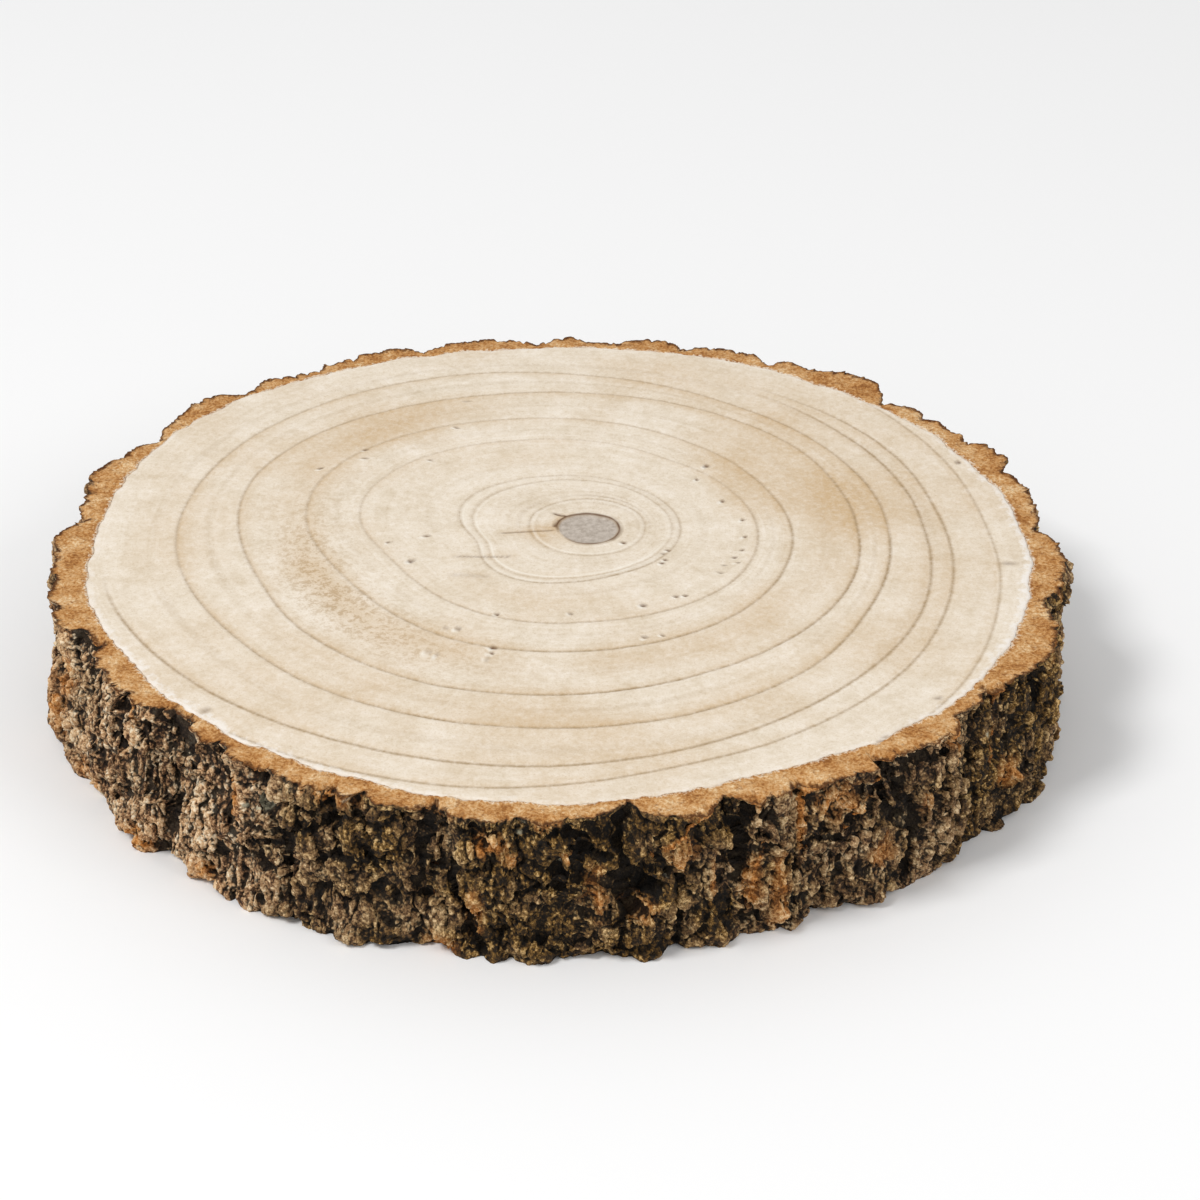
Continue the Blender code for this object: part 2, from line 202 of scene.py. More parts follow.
# Middle of the pith, main rings and border at about these radii, in millimetres: they space the rows
MEAN_RADII = (0, 7.6, 15, 26.5, 29, 50, 62, 79, 92, 116)

# Main rings by number: how dark the line is, and how pale the line just inside it. Widths in metres.
LINE_STRENGTHS = {2: 0.55, 3: 0.45, 4: 0.75, 5: 0.6, 6: 0.75, 7: 0.9, 8: 0.95}
PALE_STRENGTHS = {2: 0.45, 3: 0.6, 4: 0.95}
LINE_WIDTH = 0.00042
PALE_WIDTH = 0.00045
PALE_INSIDE = 0.0009

# Levels of the sawn face in metres
PITH_DISH = 0.0004
SAWN_WAVER = 0.00006

# Faint rings between the main ones: place between two main rings, strength
FAINT_RINGS = (
    (1.45, 0.30), (1.72, 0.45), (2.18, 0.50), (2.42, 0.30), (2.66, 0.22), (3.5, 0.25), (4.3, 0.12),
    (5.45, 0.12), (6.5, 0.10), (7.5, 0.15), (8.3, 0.18),
)

# Small dark pits in the sawn face, degrees and millimetres about the pith: direction, distance, size
PITS = (
    (47, 46.5, 1.2), (22.5, 38.2, 1), (42.5, 39.2, 0.8), (20, 105.5, 0.9), (6.5, 40.5, 0.8),
    (114.5, 79, 0.8), (155, 78, 0.8), (147, 70.3, 0.8), (144, 73.5, 0.8),
    (122, 66.5, 0.8), (138, 56, 0.7), (188, 51.5, 0.8), (200.8, 48.2, 1.3),
    (185.5, 41.8, 0.8), (237.5, 73.5, 1), (239.5, 73.5, 1), (248.5, 64, 1.3),
    (249, 66.5, 0.9), (249, 69.5, 0.9), (235, 61, 0.8), (237.5, 60.2, 0.8),
    (242.5, 49.2, 0.9), (264, 43.3, 0.8), (284, 56.5, 0.9), (288.5, 56.5, 0.8),
    (289, 41.5, 1.2), (302, 41.3, 0.9), (305, 42, 0.9), (325.5, 40.2, 0.8),
    (354, 40.5, 0.8), (316, 26, 0.9), (320, 25.5, 0.8), (325.5, 23, 0.8),
    (331, 23.5, 0.7), (321, 11.5, 1), (344, 41, 0.7), (338, 40.2, 0.7),
    (335, 41.8, 0.6), (331, 39, 0.7),
)

# Drying cracks, as above: direction, distance, direction, distance, half width, darkness
CHECKS = (
    (186, 21.5, 185, 9, 0.40, 0.55), (203.5, 36.5, 217, 24.5, 0.40, 0.5),
    (215, 42, 224, 35.5, 0.8, 0.2), (136.9, 11.4, 131.4, 8.2, 0.45, 0.95),
    (172, 8.6, 152, 8.3, 0.55, 0.9), (303.5, 122.8, 304.4, 121.2, 0.45, 0.8),
    (314.5, 118.8, 315.2, 116.5, 0.40, 0.6), (350, 111.5, 350.6, 106, 0.40, 0.5),
    (224, 128.5, 224.3, 126, 0.50, 0.5),
)

# Soft tan stains, as above: direction, distance, half length, half width, strength. The second darkens the
# front of the face broadly.
STAINS = (
    (193, 13, 7, 3.5, 0.75), (275, 97, 75, 14, 0.30), (240, 40, 16, 6, 0.35),
    (215, 72, 34, 7, 0.60), (190, 74, 20, 6, 0.35), (135, 78, 40, 8, 0.55),
    (35, 48, 22, 8, 0.40), (40, 72, 44, 16, 0.42), (60, 95, 45, 9, 0.25),
    (10, 66, 30, 9, 0.45), (350, 88, 40, 12, 0.35), (280, 66, 60, 7, 0.35),
    (245, 92, 50, 5, 0.25), (318, 60, 30, 8, 0.30),
)

# Dark cracks in the side, finer than the solids' crevices. Degrees and millimetres as above.
CRACKS = (
    (193.5, 38, 196, 27, 2.2, 2.8), (200.5, 22, 199, 6, 0.9, 1.8),
    (208, 30, 206, 8, 0.7, 1.4), (213.8, 27, 212.1, 7, 0.7, 1.6),
    (219, 33, 218.2, 8, 0.7, 1.6), (226.6, 32, 225.5, 16, 1.5, 2.4),
    (225.5, 16, 228.4, 5, 1.3, 2.4), (229.7, 39, 233.1, 31, 1.3, 2.4),
    (235.5, 19, 239.8, 19.7, 0.7, 1.6), (235, 39, 237.3, 37.5, 1.3, 2.6),
    (239.8, 25, 240.1, 7, 1.1, 2.4), (241.7, 25.5, 246.9, 33.4, 0.8, 1.8),
    (246, 22, 252, 24, 0.7, 1.4), (256.3, 40, 255.4, 19, 1.7, 2.8),
    (259, 25, 259.6, 14, 1.1, 2.4), (259.6, 14, 261.6, 2, 1.3, 3),
    (261.4, 37, 263.6, 36, 0.7, 1.4), (263.6, 36, 264.2, 32, 0.7, 1.4),
    (264, 17, 268.4, 22.3, 0.7, 1.6), (268.4, 22.3, 272, 19, 0.7, 1.6),
    (271.4, 32, 275.6, 28, 1.1, 2.4), (276.2, 40, 277.2, 22, 1.7, 3),
    (277.2, 22, 280, 19, 1.5, 3), (282.8, 21, 283.2, 3, 1.3, 3),
    (287.4, 40, 290.2, 23, 1.2, 2.6), (295.8, 40, 295.6, 29, 1.2, 3),
    (301.5, 22.3, 297.4, 23, 1, 2), (297.4, 23, 296.3, 15, 1.2, 2.6),
    (306.4, 40, 306.3, 29, 2.1, 3.6), (306.3, 29, 311.8, 17, 1.8, 3.4),
    (312, 17, 310.9, 3, 1.4, 2.8), (315.3, 35, 315.1, 26, 1, 2.2),
    (315.1, 26, 317.5, 13, 0.9, 2), (322.5, 38, 321.5, 22, 1, 2),
    (331.7, 16, 334.7, 2, 1.2, 2.4), (340, 36, 339, 16, 0.9, 2),
    (353, 38, 352, 8, 1, 2.2), (8, 30, 12, 6, 1, 2.2), (29, 38, 27, 14, 1.1, 2.4),
    (42, 36, 41, 8, 1.2, 2), (58, 20, 63, 24, 0.8, 1.8), (74, 34, 72.5, 6, 1, 1.8),
    (86, 26, 91, 22, 0.8, 1.4), (96, 34, 97, 5, 1, 1.6), (109, 36, 108, 9, 1.1, 1.8),
    (124, 30, 126, 6, 1, 2), (135.5, 36, 135, 6, 1.2, 2),
    (150, 22, 155, 18, 0.8, 2), (167.5, 36, 169, 9, 1.1, 2.4),
    (183, 32, 181, 5, 1.1, 2.4),
)

# Tan torn lips that stand up from the side. Degrees and millimetres: as the cracks, with the height last.
LIPS = (
    (217.3, 40, 217.8, 30, 0.8, 0.9), (233, 33, 232.6, 24, 0.8, 0.6),
    (286, 39, 282, 33.5, 0.8, 0.9), (282, 33.5, 279.3, 28, 0.8, 0.9),
    (292.8, 26, 291, 14, 0.7, 0.7), (297.2, 37, 297.2, 25, 0.9, 0.9),
    (305.2, 39, 304.6, 32.5, 0.9, 1), (304.6, 32.5, 302, 25, 0.9, 1),
    (318.4, 38, 318, 28, 0.7, 0.7), (326, 34, 325, 20, 0.7, 0.7),
    (346, 34, 346.5, 14, 0.7, 0.7),
)

# Where the bark under the upper edge has fallen in. Degrees and millimetres: direction, half width,
# depth, how far down, and how open the hollow is to the edge, from 0 to 1.
UNDERCUTS = (
    (193, 5, 2.6, 15, 0), (206.5, 6, 2.4, 12, 0), (214.5, 3.5, 1.4, 9, 0),
    (223, 5, 2.2, 12, 0), (229.8, 3, 2, 9, 0), (236.2, 2.6, 2.2, 6, 0),
    (252.5, 7, 1.5, 8, 0), (273.5, 4.5, 1.4, 14, 0), (289, 7.5, 2, 12, 0),
    (299.5, 4, 1.4, 10, 0), (310, 6.5, 2.6, 13, 0), (323.5, 3.5, 1.6, 16, 0),
    (333, 6.5, 1.6, 20, 0), (345, 4, 1.6, 10, 0), (18, 6, 1.6, 9, 0),
    (52, 5, 1.6, 12, 0), (112, 5, 1.2, 9, 0), (142, 6, 1.8, 12, 0),
    (174, 5, 1.6, 10, 0), (202.5, 6.5, 3.6, 13, 1), (222.8, 5, 4.6, 12, 1),
    (230.8, 2.4, 2.6, 8, 1), (236.3, 1.8, 1.6, 5, 1), (310.5, 4.5, 1.6, 14, 0.8),
    (325, 4, 1.6, 12, 0.8),
)

# Rust-orange and tan places on the side, where the bark has flaked and shows its inside.
# Degrees and millimetres: direction, height, half width, half height, strength.
RUST = (
    (193.8, 12.3, 5.5, 9, 1), (198, 26, 4, 6, 0.8), (204, 4, 5, 4, 0.8),
    (217.1, 2.7, 5, 2.5, 0.9), (228, 3.5, 4, 3, 0.7), (232.8, 28.5, 1.8, 5, 0.9),
    (246.8, 37.8, 4, 2, 0.8), (257.5, 2.5, 3.5, 3, 0.9), (263.1, 33.2, 3.2, 3.2, 1),
    (261.2, 13.5, 2, 6, 0.9), (265.1, 28, 1.8, 1.8, 0.8), (271.2, 29.9, 1.3, 1.3, 1),
    (274, 20, 2.2, 7, 0.7), (278.8, 14.2, 3, 3.2, 1), (283, 28.5, 3, 4.5, 0.9),
    (286.8, 19, 0.8, 6, 0.7), (291.2, 16, 2.2, 7, 0.9), (294.3, 12, 2.2, 9, 1),
    (297.2, 30, 1, 9, 0.9), (301, 33, 4, 5, 0.8), (307.2, 14, 3.6, 4, 1),
    (313.2, 22.5, 1.2, 3.5, 0.8), (317, 38, 3.5, 2.5, 0.9), (328.4, 14.5, 3.2, 3.6, 1),
    (338, 37.5, 5, 1.5, 0.6), (345, 12, 1.5, 8, 0.6), (20, 33, 4, 4, 0.8),
    (38, 8, 3, 5, 0.8), (66, 12, 3, 6, 0.8), (95, 28, 3, 4, 0.7),
    (128, 8, 4, 5, 0.8), (144, 36, 5, 2, 0.6), (160, 24, 3.5, 5, 0.9),
    (178, 8, 3, 5, 0.7),
)

# Specks of pale lichen on the side. Degrees and millimetres: direction, height, radius.
LICHEN = (
    (237, 30.5, 1.2), (234.6, 28, 0.6), (247.6, 38.6, 0.8), (266.1, 35.7, 0.6),
    (266.5, 39.2, 0.5), (269.7, 26.4, 0.6), (216.2, 29.4, 0.5), (281, 21.5, 0.5),
    (324, 30, 0.6), (60, 22, 0.8), (118, 18, 0.7), (171, 27, 0.8),
)

# Where the bark runs in upright fibres. Degrees: direction, half width; strength.
FIBROUS = (
    (211, 14, 1.2), (232, 5, 0.8), (244, 4, 0.6), (264, 6, 0.4), (284, 3, 0.6),
    (326, 6, 0.7), (343, 10, 0.9), (70, 12, 0.6), (150, 12, 0.6),
)

# How pale the weathered bark is, partly its own weathering and partly painted light where it faces the key
# light: direction in degrees, share of the pale grey-brown bark
LIT_SIDE_PALENESS = (
    (0, 0.25), (60, 0.25), (120, 0.35), (185, 0.55), (195, 0.90), (205, 1), (224, 1), (233, 0.95),
    (240, 0.30), (250, 0.05), (262, 0), (276, 0), (284, 0.10), (292, 0.25), (305, 0.45), (316, 0.35),
    (323, 0.05), (330, 0), (345, 0.05),
)

# Where the upper edge has chipped. Degrees and millimetres: direction, half width, depth.
CHIPS = (
    (203, 3, 2), (221.5, 4, 2.6), (236, 3, 1.6), (244.6, 2.6, 2), (256.6, 2.4, 1.4),
    (268.5, 2, 1.2), (285.5, 3, 1.8), (291, 2.4, 1.6), (297.5, 4.5, 2.4), (306.8, 3.2, 2.2),
    (317, 2.5, 1.4), (327, 2.6, 1.8), (338, 3, 1.2), (350, 2.4, 1.8), (8, 2.6, 1.2),
    (31, 3, 1.6), (61, 3, 1.6), (92, 3, 1.4), (121, 2.6, 1.6), (150, 3, 1.8),
    (172, 3, 1.6),
)

# Pieces that the weathered bark has broken into. Stretch along X, Y and Z, width, seed; then how far they
# step in or out, how round they are and how deep the gaps between them, in metres, and the gaps' width as
# a share of the pieces' own.
BROKEN = {
    "slab": ((1, 1, 0.60), 0.0068, 91, 0.0026, 0.0004, 0.0010, 0.12),
    "chip": ((1, 1, 0.70), 0.0027, 92, 0.0006, 0.0002, 0.0004, 0.16),
    "tall": ((1, 1, 0.20), 0.0030, 95, 0.0016, 0.0003, 0.0007, 0.13),
    "round_grain": ((1, 1, 0.75), 0.00125, 93, 0.0006, 0.0002, 0.0003, 0.22),
    "long_grain": ((1, 1, 0.25), 0.00105, 94, 0.0006, 0.0002, 0.0003, 0.22),
}

# Fineness of the surfaces
WOOD_COLUMNS = 448
WOOD_ROW = 0.0008
WOOD_ROW_BELOW = 0.0021
BARK_COLUMNS = 2360
BARK_ROWS = 120
SAWN_ROWS = 22
SAWN_ROWS_BELOW = 8
SECTOR_ENDS = (42.0, 135.5, 203.8, 256.7, 318.5)
SECTOR_NAMES = ("bark_back", "bark_left", "bark_front_left", "bark_front_right", "bark_right")
NOISE_TABLE = 64


def linear(code):
    """An sRGB hex colour as linear red, green, blue and alpha."""
    parts = [int(code[i : i + 2], 16) / 255 for i in (1, 3, 5)]
    return [c / 12.92 if c <= 0.04045 else ((c + 0.055) / 1.055) ** 2.4 for c in parts] + [1.0]


def wrapped(degrees):
    """An angle brought into -180 to 180."""
    return (degrees + 180) % 360 - 180


def value_noise(points, cell, seed):
    """Smooth noise from -1 to 1: random numbers at the corners of box cells, blended by 3t^2 - 2t^3."""
    table = np.random.default_rng(seed).uniform(-1, 1, (NOISE_TABLE,) * 3)
    scaled = points / cell
    corner = np.floor(scaled).astype(int)
    t = scaled - corner
    t = t * t * (3 - 2 * t)
    total = np.zeros(points.shape[:-1])
    for step in np.ndindex(2, 2, 2):
        weight = np.prod(np.where(step, t, 1 - t), axis=-1)
        at = (corner + step) % NOISE_TABLE
        total += weight * table[at[..., 0], at[..., 1], at[..., 2]]
    return total


def layered_noise(points, cell, seed, layers=3):
    """Noise from -1 to 1 in layers, each half as wide and half as strong as the one before."""
    total = sum(0.5**i * value_noise(points, cell * 0.5**i, seed + i) for i in range(layers))
    return np.clip(total / 0.9, -1, 1)


def grains(points, cell, seed):
    """Cells round scattered points, one in each box: distances to the nearest and the second nearest, in
    cell widths, and the nearest one's own random number from 0 to 1."""
    draw = np.random.default_rng(seed)
    place = draw.uniform(0.05, 0.95, (NOISE_TABLE,) * 3 + (3,))
    number = draw.uniform(0, 1, (NOISE_TABLE,) * 3)
    scaled = points / cell
    corner = np.floor(scaled).astype(int)
    nearest = np.full(points.shape[:-1], 9.0)
    second = nearest.copy()
    tone = np.zeros_like(nearest)
    for step in np.ndindex(3, 3, 3):
        box = corner + step - 1
        at = tuple(np.moveaxis(box % NOISE_TABLE, -1, 0))
        away = np.linalg.norm(box + place[at] - scaled, axis=-1)
        closer = away < nearest
        second = np.where(closer, nearest, np.minimum(second, away))
        tone = np.where(closer, number[at], tone)
        nearest = np.minimum(nearest, away)
    return nearest, second, tone


def read_round(degrees, readings):
    """What a table of directions and readings gives at other directions, straight between its rows."""
    return np.interp(degrees, *np.array(readings, float).T, period=360)


def smooth_round(degrees, readings):
    """A ring's radius in metres: straight between its readings, then averaged over 9 degrees."""
    found = [read_round(degrees + lean, readings) for lean in np.linspace(-4.5, 4.5, 7)]
    return np.mean(found, axis=0) * READING_SCALE * MM


def from_pith(degrees, distance):
    """The point that lies a distance in metres from the pith's middle in a direction."""
    turn = np.radians(degrees)
    return PITH_CENTRE[0] + distance * np.cos(turn), PITH_CENTRE[1] + distance * np.sin(turn)


def edge_radius(degrees):
    """The wood's radius about EDGE_CENTRE: a circle drawn out a little along X."""
    return EDGE_RADIUS + EDGE_OVAL * np.cos(2 * np.radians(degrees))


def edge_ring(degrees):
    """Points on a circle as wide as the wood, where noise that runs round the slice is read."""
    turn = np.radians(degrees)
    return np.stack([np.cos(turn), np.sin(turn), np.zeros_like(turn)], -1) * EDGE_RADIUS


def arc_from(direction, degrees):
    """Length round the slice in metres from one direction to others, below zero where it is clockwise."""
    return wrapped(degrees - direction) * np.radians(1) * EDGE_RADIUS


def from_centre(points):
    """Distance of points from the upright line through EDGE_CENTRE."""
    return np.hypot(points[..., 0] - EDGE_CENTRE[0], points[..., 1] - EDGE_CENTRE[1])


def border_radius(degrees):
    """Where wood and bark meet, about EDGE_CENTRE: the solids' border, shifted as in the picture, wavering
    by up to about 1 mm and finely frayed."""
    ring = edge_ring(degrees)
    shifted = edge_radius(degrees) + read_round(degrees, BORDER_SHIFT) * MM
    wavering = shifted + 0.0008 * layered_noise(ring, 0.009, 71, 4) - 0.0001
    return wavering + 0.0003 * value_noise(ring, 0.0016, 76)


def border_from_pith(degrees):
    """Distance from the pith to the border: the border's points, turned to directions about the pith."""
    around = np.linspace(0, 360, 3600, endpoint=False)
    radius = border_radius(around)
    x = EDGE_CENTRE[0] + radius * np.cos(np.radians(around)) - PITH_CENTRE[0]
    y = EDGE_CENTRE[1] + radius * np.sin(np.radians(around)) - PITH_CENTRE[1]
    seen = np.degrees(np.arctan2(y, x)) % 360
    return read_round(degrees, sorted(zip(seen, np.hypot(x, y))))


def plate_thickness(degrees):
    """Bark thickness at the upper edge: steep out of each furrow, then rounded over the crest."""
    furrow, floor, crest, height = np.array(PLATES).T
    turned = furrow[0] + (degrees - furrow[0]) % 360
    number = np.searchsorted(furrow, turned, side="right") - 1
    following = (number + 1) % len(PLATES)
    end = np.where(following == 0, furrow[0] + 360, furrow[following])
    rising = turned < crest[number]
    flank = np.where(
        rising,
        (turned - furrow[number]) / (crest[number] - furrow[number]),
        (end - turned) / (end - crest[number]),
    )
    low = np.where(rising, floor[number], floor[following])
    return MM * (low + (height[number] - low) * np.sin(flank * np.pi / 2) ** PLATE_SHARPNESS)


def line_depth(degrees, height, lines):
    """Depth of V-shaped trenches, the deepest where several cross, along lines on the unrolled side."""
    depth = np.zeros_like(height)
    arc = np.radians(1) * EDGE_RADIUS
    for start, low, end, high, half_width, deepest in lines:
        along, up = wrapped(end - start) * arc, (high - low) * MM
        across, rise = wrapped(degrees - start) * arc, height - low * MM
        share = np.clip((across * along + rise * up) / (along**2 + up**2), 0, 1)
        away = np.hypot(across - share * along, rise - share * up)
        depth = np.maximum(depth, deepest * MM * (1 - away / (half_width * MM)))
    return depth


def block_relief(degrees, height):
    """Blocks round jittered points: each stands out by its own step, is crowned, and ends in a joint."""
    draw = np.random.default_rng(RELIEF_SEED)
    girth = 2 * np.pi * EDGE_RADIUS
    columns, rows = round(girth / BLOCK_WIDTH), round(THICKNESS / BLOCK_HEIGHT) + 1
    shift = draw.uniform(-BLOCK_JITTER, BLOCK_JITTER, (2, rows, columns))
    step = draw.uniform(-1, 1, rows * columns).reshape(rows, columns)
    across = (degrees % 360) / 360 * girth
    column_here = np.round(across / girth * columns).astype(int)
    row_here = np.round(height / THICKNESS * (rows - 1)).astype(int)
    nearest = np.full(height.shape, 9.0)
    second, block = nearest.copy(), np.zeros(height.shape)
    for row_step in range(-2, 3):
        row = row_here + row_step
        inside = np.clip(row, 0, rows - 1)
        for column_step in range(-3, 4):
            column = (column_here + column_step) % columns
            seed_across = (column + 0.5 * (inside % 2) + shift[0, inside, column]) * girth / columns
            seed_up = (inside + shift[1, inside, column]) * THICKNESS / (rows - 1)
            apart = (across - seed_across + girth / 2) % girth - girth / 2
            away = np.hypot(apart / BLOCK_WIDTH, (height - seed_up) / BLOCK_HEIGHT)
            away = np.where(row == inside, away, 9.0)
            closer = away < nearest
            second = np.where(closer, nearest, np.minimum(second, away))
            block = np.where(closer, step[inside, column], block)
            nearest = np.minimum(nearest, away)
    joint = 1 - np.clip((second - nearest) * BLOCK_WIDTH / JOINT_WIDTH, 0, 1)
    relief = BLOCK_STEP * block * (1 - joint) - BLOCK_CROWN * nearest**2 - JOINT_DEPTH * joint
    return relief, joint


def bark_thickness(degrees, height):
    """Bark thickness on the side, as in the solids: plates blended into the foot, blocks and crevices."""
    depth = 1 - height / THICKNESS
    drift = read_round(degrees, FURROW_DRIFT)
    foot = read_round(degrees, FOOT) * MM
    thickness = (1 - depth) * plate_thickness(degrees - drift * depth) + depth * foot
    below_edge = np.clip((THICKNESS - height) / SAW_EDGE, 0.35, 1)
    relief, joint = block_relief(degrees, height)
    thickness += below_edge * relief - line_depth(degrees, height, CREVICES)
    ragged = 0.5 + 0.5 * np.sin(np.radians(degrees) * 23 + 2 * np.sin(np.radians(degrees) * 9))
    chip = CHIP_DEPTHS[0] + ragged * (CHIP_DEPTHS[1] - CHIP_DEPTHS[0])
    thickness -= chip * np.clip(1 - height / CHIP_HEIGHT, 0, 1)
    return np.maximum(THINNEST_BARK, thickness), joint


def side_points(degrees, height, thickness):
    """Points of the bark's side: out from EDGE_CENTRE by the wood's radius and the bark's thickness."""
    radius = edge_radius(degrees) + thickness
    turn = np.radians(degrees)
    x = EDGE_CENTRE[0] + radius * np.cos(turn)
    y = EDGE_CENTRE[1] + radius * np.sin(turn)
    return np.stack([x, y, height], -1)


def blurred(field, across, along):
    """A field on the side averaged over a window of rows and columns, which wraps round the slice."""
    padded = np.pad(field, ((across, across), (0, 0)), mode="edge")
    padded = np.pad(padded, ((0, 0), (along, along)), mode="wrap")
    sums = np.pad(padded.cumsum(0).cumsum(1), ((1, 0), (1, 0)))
    tall, wide = 2 * across + 1, 2 * along + 1
    total = sums[tall:, wide:] - sums[:-tall, wide:] - sums[tall:, :-wide] + sums[:-tall, :-wide]
    return total / (tall * wide)


def even_columns():
    """Directions of the bark's columns: evenly spaced along the outline's own length, not by angle."""
    fine = np.linspace(0, 360, 14400, endpoint=False)
    length = 0
    for share in (0.9, 0.1):
        height = np.full_like(fine, share * THICKNESS)
        outline = side_points(fine, height, bark_thickness(fine, height)[0])
        steps = np.linalg.norm(np.roll(outline, -1, axis=0) - outline, axis=1)
        length = length + np.minimum(steps, 3 * steps.mean())
    travelled = np.concatenate([[0], np.cumsum(length)])
    wanted = np.arange(BARK_COLUMNS) / BARK_COLUMNS * travelled[-1]
    return np.interp(wanted, travelled, np.append(fine, 360))


def new_piece(name, points, faces, attributes, materials):
    """A smooth mesh object at the origin with float attributes on its points, standing in the scene."""
    mesh = bpy.data.meshes.new(name)
    mesh.from_pydata(points, [], faces)
    for label, values in attributes.items():
        layer = mesh.attributes.new(label, "FLOAT", "POINT")
        layer.data.foreach_set("value", np.ascontiguousarray(values, np.float32))
    for material in materials:
        mesh.materials.append(material)
    mesh.shade_smooth()
    mesh.update()
    made = bpy.data.objects.new(name, mesh)
    bpy.context.scene.collection.objects.link(made)
    return made


def dress(piece, node):
    """Says what the piece rides on, and hides the node of the model that it stands for."""
    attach(piece, "root")
    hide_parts(node)


def add(tree, kind, inputs=(), out=0, stops=(), **settings):
    """Adds a node and gives one of its outputs. inputs holds values, or outputs to link, for the first
    sockets in their order or for the sockets that it names, and stops fills a ramp."""
    node = tree.nodes.new("ShaderNode" + kind)
    for name, value in settings.items():
        setattr(node, name, value)
    for socket, value in inputs.items() if isinstance(inputs, dict) else enumerate(inputs):
        if isinstance(value, bpy.types.NodeSocket):
            tree.links.new(value, node.inputs[socket])
        else:
            node.inputs[socket].default_value = value
    for i, (position, colour) in enumerate(stops):
        mark = node.color_ramp.elements[i] if i < 2 else node.color_ramp.elements.new(position)
        mark.position = position
        mark.color = linear(colour)
    return node.outputs[out]


def segment_distance(x, y, start, end):
    """Distance from points to a straight line between two points."""
    along = np.subtract(end, start)
    share = np.clip(((x - start[0]) * along[0] + (y - start[1]) * along[1]) / (along @ along), 0, 1)
    return np.hypot(x - start[0] - share * along[0], y - start[1] - share * along[1])


def ring_rows(spacing):
    """Row places from the pith's middle (0) to the border. Whole numbers fall on rings, and rows crowd there:
    share - crowd sin(2 pi share) / (2 pi), where share runs evenly from one ring to the next."""
    places = []
    for number, (inner, outer) in enumerate(zip(MEAN_RADII, MEAN_RADII[1:])):
        steps = max(3, round((outer - inner) * MM / spacing))
        share = np.arange(steps) / steps
        crowd = 0.65 if 0 < number < len(MEAN_RADII) - 2 else 0.4
        places.append(number + share - crowd * np.sin(2 * np.pi * share) / (2 * np.pi))
    return np.append(np.concatenate(places), len(MEAN_RADII) - 1)


